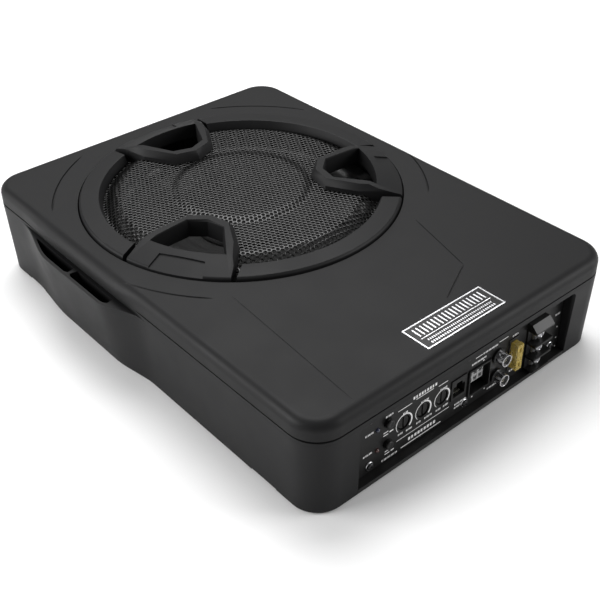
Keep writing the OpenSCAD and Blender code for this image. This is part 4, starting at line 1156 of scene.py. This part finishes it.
dome = [(cap_r * math.sin(a), cap_low[2] + CAP_RIM + (cap_h - CAP_RIM) * math.cos(a)) for a in dome_angles]
under = [(max(0.05, r - CAP_T), z - CAP_T) for r, z in reversed(dome)]
cap_profile = [(cap_r, cap_low[2]), *dome, *under, (cap_r - CAP_T, cap_low[2])]
piece(
    "dust_cap_dome", moved(turned(cap_profile, 96, loop=True), y=RING_Y), "cone_paper",
    body="cone_assembly", stands_for=["dust_cap"], sharp=60)

# %% [markdown]
# ## The control panel
# The panel is a painted steel sheet with punched windows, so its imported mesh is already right.
# What it needs is its print and its fittings. The print is screen ink a few hundredths of a
# millimetre thick: lines that group the controls, a swelling arc round each rotary control,
# and rows of plain dashes where a maker would put words. Dashes say that something is written
# there without saying anything.

# %% Bars, words and arcs of ink
INK_T = 0.05
INK_SINK = 0.02


def ink_bar(x0, x1, z, height=0.45):
    """A printed bar on the panel, centred on height z."""
    return block((x0, FACE_Y - INK_T, z - height / 2), (x1, FACE_Y + INK_SINK, z + height / 2))


def ink_word(x0, x1, z, height=1.3, dash=0.62, gap=0.34):
    """A row of dashes that stands for a label."""
    count = max(1, round((x1 - x0 + gap) / (dash + gap)))
    pitch = (x1 - x0 + gap) / count
    lengths = [pitch - gap - 0.28 * ((7 * k) % 3 == 1) for k in range(count)]
    return joined(*[ink_bar(x0 + k * pitch, x0 + k * pitch + d, z, height) for k, d in enumerate(lengths)])


def ink_arc(x, z, radius, start_angle, end_angle, thin, thick):
    """A printed arc that swells from thin to thick."""
    rings = []
    for t in np.linspace(0, 1, 40):
        a = math.radians(start_angle + (end_angle - start_angle) * t)
        half = (thin + (thick - thin) * t) / 2
        rows = [
            (radius - half, -INK_T), (radius + half, -INK_T),
            (radius + half, INK_SINK), (radius - half, INK_SINK)]
        rings.append([(x + r * math.cos(a), FACE_Y + y, z + r * math.sin(a)) for r, y in rows])
    return loft(rings)


# %% [markdown]
# Each label's place is written in millimetres from the panel's middle and from the floor. The
# arcs belong to the rotary controls, so they take their places from them.

# %% Print the panel
knob_nodes = {"gain": "gain_knob", "crossover": "crossover_knob", "boost": "boost_knob"}
knob_spans = {name: span(node) for name, node in knob_nodes.items()}
KNOB_R = (knob_spans["gain"][1][0] - knob_spans["gain"][0][0]) / 2
KNOB_Z = (knob_spans["gain"][1][2] + knob_spans["gain"][0][2]) / 2
knob_x = {name: (low[0] + high[0]) / 2 for name, (low, high) in knob_spans.items()}
words = [
    (-65.6, -60.0, 39.0), (-81.1, -75.1, 34.0), (-82.4, -75.4, 19.2), (-67.7, -55.5, 6.8),
    (-51.8, -48.2, 33.2), (-55.2, -51.6, 19.0), (-48.7, -43.8, 18.5), (-37.2, -31.1, 32.8),
    (-40.3, -36.9, 18.7), (-33.7, -27.6, 18.7), (-21.4, -15.7, 32.8), (-24.0, -19.8, 18.4),
    (-17.8, -13.5, 18.4), (-7.5, 3.0, 13.0), (-7.5, 3.0, 10.5), (15.2, 28.4, 40.0),
    (5.5, 18.1, 36.4), (22.3, 34.8, 8.3), (42.1, 47.1, 38.7), (42.7, 46.5, 10.7),
    (59.0, 72.2, 43.6), (84.5, 89.3, 33.0)]
bars = [
    (-56.0, -45.0, 37.3, 0.45), (-23.1, -15.3, 36.8, 0.45), (-56.2, -12.5, 14.8, 0.4),
    (8.4, 14.4, 40.0, 0.45),
    (29.5, 37.6, 41.0, 0.45), (-67.0, -63.3, 25.6, 0.6), (-67.0, -63.3, 27.6, 0.6), (-62.3, -59.3, 26.3, 0.9),
    (-65.4, -61.6, 10.6, 0.6), (-65.4, -61.6, 12.6, 0.6), (-60.6, -58.1, 10.8, 0.9), (-52.4, -19.0, 7.2, 0.7),
    (15.6, 16.6, 34.6, 0.9), (19.0, 20.2, 10.4, 0.9), (7.8, 8.8, 10.4, 0.9), (87.6, 88.6, 22.3, 0.9),
    (88.1, 89.1, 13.3, 0.9), (88.2, 89.2, 6.2, 0.9)]
words += [(-44.0, -24.8, 40.0, 2.0, 1.5, 0.8), (-46.5, -24.0, 10.6, 2.2, 1.7, 0.8)]
emblem = [(-41.5, -27.3, 37.9, 0.5)]
ink = [ink_word(*w) for w in words] + [ink_bar(*b) for b in bars + emblem]
ink += [ink_arc(x, KNOB_Z, KNOB_R + 1.7, 225, -45, 0.3, 1.2) for x in knob_x.values()]
piece("panel_print", joined(*ink), "print_ink")

# %% [markdown]
# ## Screws, knobs, buttons and lamps
# Each panel screw is a black pan head over a bright ring. The recess in its head is cut, so
# that it holds a shadow, which a painted cross wouldn't. The two arms of the cross are cut
# one after the other, because a cutter that passes through itself can leave loose faces.


# %% Screws
def cross_cut(size, width, depth, top):
    """Cutter for a cross recess that narrows downwards."""
    arms = []
    levels = ((top - depth, 0.55), (top, 1.0), (top + 1, 1.15))
    for long_x, long_y in ((size, width), (width, size)):
        arms.append(loft([
            [(sx * long_x / 2 * k, sy * long_y / 2 * k, z) for sx, sy in CORNERS] for z, k in levels]))
    return arms


def dome_head(radius, height, crown, steps=32):
    """Pan head of a screw, with its underside at 0."""
    angles = [math.radians(a) for a in range(0, 90, 15)]
    arc = [(radius * math.cos(a), height - crown + crown * math.sin(a)) for a in angles]
    return turned([(radius, -0.4), *arc, (radius * 0.12, height)], steps)


def on_panel(shape, places):
    """Copies of a shape at several (x, z) places on the panel, as one shape."""
    return joined(*[facing(shape, x, z) for x, z in places])


screw_low, screw_high = span("panel_screws")
HEAD_R = 2.8
HEAD_H = FACE_Y - screw_low[1]
TOP_SCREW_Z, LOW_SCREW_Z = screw_high[2] - HEAD_R, screw_low[2] + HEAD_R
jack_span = span("rca_shells")
JACK_X = (jack_span[0][0] + jack_span[1][0]) / 2
screw_places = [(-78.6, TOP_SCREW_Z), (1, TOP_SCREW_Z), (83.2, TOP_SCREW_Z)]
screw_places += [(-77.6, LOW_SCREW_Z), (1, LOW_SCREW_Z), (82.4, LOW_SCREW_Z), (JACK_X + 6.6, 26.6)]
bright_ring = turned([
    (1.9, 0), (HEAD_R, 0), (HEAD_R, 0.35), (HEAD_R - 0.3, 0.6), (2.35, 0.45), (1.9, 0.3)], 40, loop=True)
piece("screw_rings", on_panel(bright_ring, screw_places), "zinc_steel", stands_for=["panel_screws"])
pan_head = dome_head(2.2, HEAD_H, 0.7)
piece(
    "screw_heads", on_panel(pan_head, screw_places), "black_screw", edge=0.06, edge_steps=1,
    steps=[("DIFFERENCE", on_panel(arm, screw_places)) for arm in cross_cut(2.4, 0.6, 1.1, HEAD_H)])

# %% [markdown]
# The rotary controls stay below the panel's face: each has a fluted rim, a screwdriver slot
# and a bevel, and turns with its joint. The flutes are a cosine round the rim, cut off below
# zero. The three share one drawing and differ in their place and the body they ride on.


# %% Knobs
KNOB_FRONT = -(knob_spans["gain"][0][1] - FACE_Y)
KNOB_BACK = -(knob_spans["gain"][1][1] - FACE_Y)


def knob_shape():
    """Fluted control with a bevelled, slightly dished face, in panel coordinates."""
    count = 96
    angle = np.arange(count) * 2 * math.pi / count
    flute = 0.22 * np.maximum(0, np.cos(angle * 24)) ** 0.5
    levels = (
        (KNOB_FRONT - 1.2, 0, 1), (KNOB_FRONT - 0.35, 0, 1), (KNOB_FRONT, 0.35, 0.4),
        (KNOB_FRONT, 1.3, 0), (KNOB_FRONT - 0.25, 1.8, 0))
    rings = []
    for z, inset, share in levels:
        r = KNOB_R - 0.1 - inset - flute * share
        rings.append(np.stack([r * np.cos(angle), r * np.sin(angle), np.full(count, z)], 1))
    shaft = turned([(2.9, KNOB_BACK), (2.9, KNOB_FRONT - 1.0)], 32)
    return loft(rings), shaft


slot_cut = block((-0.6, -KNOB_R, KNOB_FRONT - 0.9), (0.6, KNOB_R, KNOB_FRONT + 1))
knob_cap, knob_shaft = knob_shape()
for name, node in knob_nodes.items():
    x = knob_x[name]
    piece(
        f"{name}_knob_cap", facing(knob_cap, x, KNOB_Z), "control_plastic", body=f"{name}_control",
        stands_for=[node], edge=0.1, steps=[
            ("UNION", facing(knob_shaft, x, KNOB_Z)), ("DIFFERENCE", facing(slot_cut, x, KNOB_Z))])

# %% [markdown]
# A push button is a turned cap with a dished face on a square stem, and it slides with its
# joint. The lamps are small domes. Both are read from their nodes, so they stay in the
# holes that the panel has for them.

# %% Push buttons and lamps
button_rows = (("phase", "phase_button", "phase_switch"), ("input", "input_button", "input_switch"))
for name, node, body in button_rows:
    low, high = span(node)
    x, z = (low[0] + high[0]) / 2, (low[2] + high[2]) / 2
    r = (high[0] - low[0]) / 2
    proud = FACE_Y - low[1]
    cap = turned([
        (r, -1), (r, proud - 0.9), (r - 0.12, proud - 0.45), (r - 0.45, proud - 0.12), (r - 0.9, proud),
        (r - 1.4, proud - 0.1), (0.3, proud - 0.35)], 48)
    stem = block((-1.5, -1.5, FACE_Y - high[1]), (1.5, 1.5, -0.5), 0.2)
    piece(
        f"{name}_button_cap", facing(cap, x, z), "control_plastic", body=body, stands_for=[node],
        steps=[("UNION", facing(stem, x, z))])

for name, node in (("power", "power_led"), ("protect", "protect_led")):
    low, high = span(node)
    x, z = (low[0] + high[0]) / 2, (low[2] + high[2]) / 2
    r = (high[0] - low[0]) / 2
    dome = [(r * math.cos(math.radians(a)), r * 0.98 * math.sin(math.radians(a))) for a in range(0, 88, 12)]
    lens = turned([(r, FACE_Y - high[1]), *dome, (0.06, r * 0.98)], 32)
    piece(f"{name}_lens", facing(lens, x, z), finish_of[node], stands_for=[node], sharp=60)

# %% [markdown]
# ## Sockets
# A modular socket takes the bass remote's plug: a black box with a stepped opening, a notch
# for the plug's latch and eight thin contacts. Its mouth is cut with a loft that is a little
# wider at the front, which gives the lead-in that guides a plug.

# %% Modular socket
def mouth_cut(x0, x1, z0, z1, levels):
    """Cutter for a rectangular opening: each level is (y, how much wider the opening is there)."""
    return loft([
        [(x0 - g, y, z0 - g), (x1 + g, y, z0 - g), (x1 + g, y, z1 + g), (x0 - g, y, z1 + g)]
        for y, g in levels])


low, high = span("remote_socket")
rj_x, rj_z, rj_front, rj_back = low[0], high[2] - 15, low[1], high[1]
rj_end = rj_x + (high[0] - low[0])
body_box = block((rj_x, rj_front, rj_z), (rj_end, rj_back, high[2]), 0.35)
foot_box = block((rj_x + 2, rj_front + 3.5, low[2]), (rj_end - 2, rj_front + 10, rj_z + 0.5))
rj_levels = [(rj_front - 1, 0.5), (rj_front + 0.01, 0.3), (rj_front + 0.4, 0.0), (rj_back - 3, 0.0)]
rj_mouth = mouth_cut(rj_x + 1.6, rj_end - 1.6, rj_z + 2, rj_z + 9.6, rj_levels)
latch_cut = block((rj_x + 4, rj_front - 1, rj_z + 9), (rj_end - 4, rj_back - 5, rj_z + 12))
piece(
    "modular_socket", body_box, "control_plastic", stands_for=["remote_socket"],
    steps=[("UNION", foot_box), ("DIFFERENCE", rj_mouth), ("DIFFERENCE", latch_cut)])
CONTACT_PITCH = 1.02
contacts = []
for k in range(8):
    x = rj_x + 2.7 + CONTACT_PITCH * k
    x_end = rj_x + 3.1 + CONTACT_PITCH * k
    contacts.append(block((x, rj_front + 2.4, rj_z + 2.4), (x_end, rj_front + 9.5, rj_z + 2.9), 0.08))
piece("modular_contacts", joined(*contacts), "contact_tin")

# %% [markdown]
# The speaker-level socket is a black shroud round a pale connector body with six square
# cells. Shroud and body are two pieces, because they are two mouldings in two plastics.

# %% Speaker-level socket
low, high = span("high_level_socket")
hl_x0, hl_x1, hl_front, hl_back, hl_z1 = low[0], high[0], low[1], high[1], high[2]
hl_z0 = hl_z1 - 20
SHELL_T = 1.4
shroud = block((hl_x0, hl_front, hl_z0), (hl_x1, hl_back, hl_z1), 0.5)
shroud_foot = block((hl_x0 + 2, hl_front + 4, low[2]), (hl_x1 - 2, hl_front + 10, hl_z0 + 0.5))
hl_levels = [(hl_front - 1, 0.5), (hl_front + 0.01, 0.3), (hl_front + 0.5, 0.0), (FACE_Y + 10.8, 0.0)]
shroud_cut = mouth_cut(hl_x0 + SHELL_T, hl_x1 - SHELL_T, hl_z0 + SHELL_T, hl_z1 - SHELL_T, hl_levels)
piece(
    "speaker_level_shroud", shroud, "control_plastic", stands_for=["high_level_socket"],
    steps=[("UNION", shroud_foot), ("DIFFERENCE", shroud_cut)])
insert = block((hl_x0 + 1.6, FACE_Y + 1.5, hl_z0 + 7.6), (hl_x1 - 4.2, FACE_Y + 10.9, hl_z1 - 1.6), 0.4)
CONTACT_CELL = 4.6
contact_cells = []
for col in range(3):
    for row in range(2):
        x, z = hl_x0 + 3.6 + CONTACT_CELL * col, hl_z0 + 9.9 + CONTACT_CELL * row
        contact_cells.append(block((x - 1.5, FACE_Y, z - 1.5), (x + 1.5, FACE_Y + 9, z + 1.5)))
piece(
    "speaker_level_insert", insert, "socket_plastic", edge=0.12, edge_steps=1,
    steps=[("DIFFERENCE", joined(*contact_cells))])

# %% [markdown]
# The phono jacks are turned nickel shells with a rolled rim. The signal goes through a small
# tube in a black insulator, so a jack is three turned pieces, one inside the other.

# %% Phono jacks
jack_low, jack_high = jack_span
JACK_R = (jack_high[0] - jack_low[0]) / 2
shell_front, shell_back = FACE_Y - jack_low[1], FACE_Y - jack_high[1]
jack_zs = (jack_low[2] + JACK_R, jack_high[2] - JACK_R)
shell = turned([
    (JACK_R - 0.15, shell_back), (JACK_R - 0.15, shell_front - 1.2), (JACK_R, shell_front - 0.9),
    (JACK_R, shell_front - 0.3), (JACK_R - 0.2, shell_front), (JACK_R - 0.55, shell_front),
    (JACK_R - 0.8, shell_front - 0.3), (JACK_R - 0.8, shell_back)], 64, loop=True)
insulator = turned([
    (1.6, shell_back), (JACK_R - 0.85, shell_back), (JACK_R - 0.85, shell_front - 1.3),
    (2.6, shell_front - 1.1), (1.75, shell_front - 1.1), (1.6, shell_front - 1.4)], 48, loop=True)
contact = turned([
    (1.15, shell_back - 4), (1.55, shell_back - 4), (1.55, shell_front - 1.5),
    (1.3, shell_front - 1.35), (1.15, shell_front - 1.6)], 32, loop=True)
jack_places = [(JACK_X, z) for z in jack_zs]
piece("jack_tubes", on_panel(shell, jack_places), "jack_nickel", stands_for=["rca_shells"])
piece("jack_insulators", on_panel(insulator, jack_places), "control_plastic")
piece("jack_contacts", on_panel(contact, jack_places), "contact_tin")

# %% [markdown]
# ## Fuse and terminal block
# A blade fuse has a clear coloured body, thicker at its grip, with two tin blades that carry
# on up inside it. They are made whole inside the clear body, so that they show through it.

# %% Fuse holder and fuse
def centred(x, z, half_x, half_z, y0, y1, edge=0.0):
    """Box centred on (x, z) that runs from y0 at its front to y1 at its back."""
    return block((x - half_x, y0, z - half_z), (x + half_x, y1, z + half_z), edge)


low, high = span("fuse_holder")
fuse_low, fuse_high = span("blade_fuse")
FUSE_X, FUSE_Z = (low[0] + high[0]) / 2, (low[2] + high[2]) / 2
holder = block(low, high, 0.3)
GRIP, GAP = 0.25, 0.3
BLADE_OFF = 5.6
half_w = (fuse_high[0] - fuse_low[0] - 2 * GRIP) / 2
half_h = (fuse_high[2] - fuse_low[2] - 2 * GRIP) / 2
fuse_front = fuse_low[1]
blade_zs = [FUSE_Z + s * BLADE_OFF for s in (-1, 1)]
pocket = centred(FUSE_X, FUSE_Z, half_w + GAP, half_h + GAP, low[1] - 1, FACE_Y + 5)
blade_slots = [centred(FUSE_X, z, 0.8, 3.0, FACE_Y, FACE_Y + 12.5) for z in blade_zs]
piece(
    "fuse_socket", holder, "control_plastic", stands_for=["fuse_holder"],
    steps=[("DIFFERENCE", pocket), ("DIFFERENCE", joined(*blade_slots))])

lower_body = centred(FUSE_X, FUSE_Z, half_w, half_h, fuse_front + 1.5, FACE_Y + 3.5, 0.35)
grip = centred(FUSE_X, FUSE_Z, half_w + GRIP, half_h + GRIP, fuse_front, fuse_front + 3, 0.45)
test_slots = [centred(FUSE_X, z, 0.7, 1.6, fuse_front - 1, fuse_front + 1.4) for z in blade_zs]
waist = [centred(FUSE_X + s * (half_w + 0.6), FUSE_Z, 1, 4, fuse_front + 3.6, FACE_Y + 2) for s in (-1, 1)]
piece(
    "fuse_body", lower_body, "fuse_amber", body="fuse", stands_for=["blade_fuse"],
    steps=[("UNION", grip), ("DIFFERENCE", joined(*test_slots)), ("DIFFERENCE", joined(*waist))])
blades = [centred(FUSE_X, z, 0.35, 2.4, fuse_front + 1.9, fuse_high[1], 0.12) for z in blade_zs]
link_points, link_faces = turned([(3.6, -0.3), (4.4, -0.3), (4.4, 0.3), (3.6, 0.3)], 40, loop=True)
link_x = FUSE_X + link_points[:, 2]
link_y = fuse_front + 4.6 + link_points[:, 0] * 0.45
fuse_link = np.stack([link_x, link_y, FUSE_Z + link_points[:, 1]], 1), link_faces
piece("fuse_blades", joined(*blades, fuse_link), "contact_tin", body="fuse")

# %% [markdown]
# The barrier block has a sloped hood and three cells that are open at the sides, with a
# plated bar on each floor. The cells are cut right across, wider at the mouth, and a round
# hole in each floor lets the clamp screw through.

# %% Terminal block
low, high = span("terminal_block")
BLOCK_X = (low[0] + high[0]) / 2
block_half = (high[0] - low[0]) / 2
tb_front, tb_top = low[1], high[2]
tb_foot = 5.5
CELL = 8.6
washers = [span(f"clamp_washer_{i}") for i in (1, 2, 3)]
cell_z = [(w[0][2] + w[1][2]) / 2 for w in washers]
cell_floor = FACE_Y - 1
block_left, block_right = BLOCK_X - block_half, BLOCK_X + block_half
main_block = block((block_left, tb_front, tb_foot), (block_right, BACK_Y + 2, tb_top), 0.45)
rear_block = block((block_left + 2, BACK_Y + 1.5, low[2]), (block_right - 2, high[1], tb_top - 6), 0.3)
HOOD = 4.2
past_side = block_half + 1
hood_outline = [
    (tb_front - 1, tb_top - HOOD - 1), (tb_front + HOOD + 1, tb_top + 1), (tb_front - 1, tb_top + 1)]
hood_cut = loft([[(BLOCK_X + s * past_side, y, z) for y, z in hood_outline] for s in (-1, 1)])
cell_levels = [(tb_front - 1, 0.5), (tb_front, 0.3), (tb_front + 0.5, 0.0), (cell_floor, 0.0)]
cell_cuts, shank_cuts = [], []
for z in cell_z:
    cell_cuts.append(loft([
        [(BLOCK_X + sx * past_side, y, z + sz * (CELL / 2 + g)) for sx, sz in CORNERS]
        for y, g in cell_levels]))
    shank_cuts.append(facing(turned([(2.2, -14), (2.2, 0.9)], 24), BLOCK_X, z))
piece(
    "barrier_block", main_block, "control_plastic", stands_for=["terminal_block"],
    steps=[
        ("UNION", rear_block), ("DIFFERENCE", hood_cut),
        ("DIFFERENCE", joined(*cell_cuts)), ("DIFFERENCE", joined(*shank_cuts))])

# %% [markdown]
# A square washer clamps the wire. It rises as its screw turns, so the washer rides on a body
# that slides and the screw on one that turns upon it. The screw is a domed head with a cross
# recess, and its shank passes down through the washer.

# %% Washers and clamp screws
screw_low, screw_high = span("clamp_screw_1")
CLAMP_R = (screw_high[0] - screw_low[0]) / 2
washer_front = FACE_Y - washers[0][0][1]
CLAMP_H = FACE_Y - screw_low[1] - washer_front
SHANK_R = 1.6
for i, (w_low, w_high) in enumerate(washers, 1):
    z = cell_z[i - 1]
    half = (w_high[0] - w_low[0]) / 2
    plate = block((-half, -half, FACE_Y - w_high[1]), (half, half, washer_front), 0.3)
    bore = turned([(SHANK_R + 0.35, 0), (SHANK_R + 0.35, washer_front + 2)], 32)
    piece(
        f"clamp_washer_{i}_plate", facing(plate, BLOCK_X, z), "zinc_steel", body=f"washer_{i}",
        stands_for=[f"clamp_washer_{i}"], steps=[("DIFFERENCE", facing(bore, BLOCK_X, z))])
    crown_head = moved(dome_head(CLAMP_R - 0.05, CLAMP_H, 1.2, 48), z=washer_front)
    crown_head[0][:, 2] = np.maximum(crown_head[0][:, 2], washer_front)
    shank = turned([(SHANK_R, FACE_Y - screw_high[1]), (SHANK_R, washer_front + 0.6)], 24)
    arms = cross_cut(4.2, 0.95, 1.5, washer_front + CLAMP_H)
    piece(
        f"clamp_screw_{i}_body", facing(crown_head, BLOCK_X, z), "zinc_steel", body=f"screw_{i}",
        stands_for=[f"clamp_screw_{i}"], edge=0.08, edge_steps=1,
        steps=[
            ("UNION", facing(shank, BLOCK_X, z)),
            *[("DIFFERENCE", facing(arm, BLOCK_X, z)) for arm in arms]])

# %% [markdown]
# ## Badge and feet
# The badge is a brushed plate sunk into the deck. A bright frame stands round a dark field,
# and on the field are plain bars in three rows, the pattern of a nameplate without a name.
# The bars are raised, because a raised edge catches the light as the real plate's would.

# %% Badge
RIM_W = 0.8
BADGE_DEPTH = 0.35
inner_low = badge_low + (RIM_W, RIM_W, 0)
inner_high = badge_high - (RIM_W, RIM_W, 0)
badge_cut = block(
    (inner_low[0], inner_low[1], badge_high[2] - BADGE_DEPTH),
    (inner_high[0], inner_high[1], badge_high[2] + 1))
piece(
    "badge_frame", block(badge_low, badge_high, 0.12), "badge_metal", stands_for=["badge_plate"],
    edge=0.06, edge_steps=1, steps=[("DIFFERENCE", badge_cut)])
FIELD_Z = badge_high[2] - 0.3
field = block(
    (inner_low[0] + 0.02, inner_low[1] + 0.02, FIELD_Z - 0.2),
    (inner_high[0] - 0.02, inner_high[1] - 0.02, FIELD_Z))
piece("badge_field", field, "badge_black")
width, height = inner_high[0] - inner_low[0], inner_high[1] - inner_low[1]


def badge_row(x0, x1, y0, y1, count, gap):
    """Raised bars across part of the badge: places are shares of the field."""
    pitch = (x1 - x0 + gap) / count
    bars = []
    for k in range(count):
        a, b = x0 + k * pitch, x0 + (k + 1) * pitch - gap
        bars.append(block(
            (inner_low[0] + a * width, inner_low[1] + y0 * height, FIELD_Z - 0.05),
            (inner_low[0] + b * width, inner_low[1] + y1 * height, badge_high[2] - 0.08), 0.05, 1))
    return bars


rows = badge_row(0.06, 0.94, 0.5, 0.88, 19, 0.033) + badge_row(0.04, 0.96, 0.40, 0.425, 1, 0)
rows += badge_row(0.08, 0.92, 0.23, 0.30, 34, 0.013) + badge_row(0.08, 0.92, 0.08, 0.16, 30, 0.013)
piece("badge_bars", joined(*rows), "badge_metal")

# %% [markdown]
# The feet are rubber discs with a bevelled tread. They are turned, one shape set down four
# times, and they lift the metal base off whatever it stands on.

# %% Feet
foot_low, foot_high = span("rubber_feet")
FOOT_R = 8
foot = turned([
    (FOOT_R - 2.5, foot_low[2] + 0.5), (FOOT_R - 2, foot_low[2]), (FOOT_R - 0.5, foot_low[2]),
    (FOOT_R, foot_low[2] + 0.5), (FOOT_R, foot_high[2])], 48)
foot_x, foot_y = foot_high[0] - FOOT_R, foot_high[1] - FOOT_R
feet = [moved(foot, sx * foot_x, sy * foot_y) for sx in (-1, 1) for sy in (-1, 1)]
piece("foot_discs", joined(*feet), "foot_rubber", stands_for=["rubber_feet"])
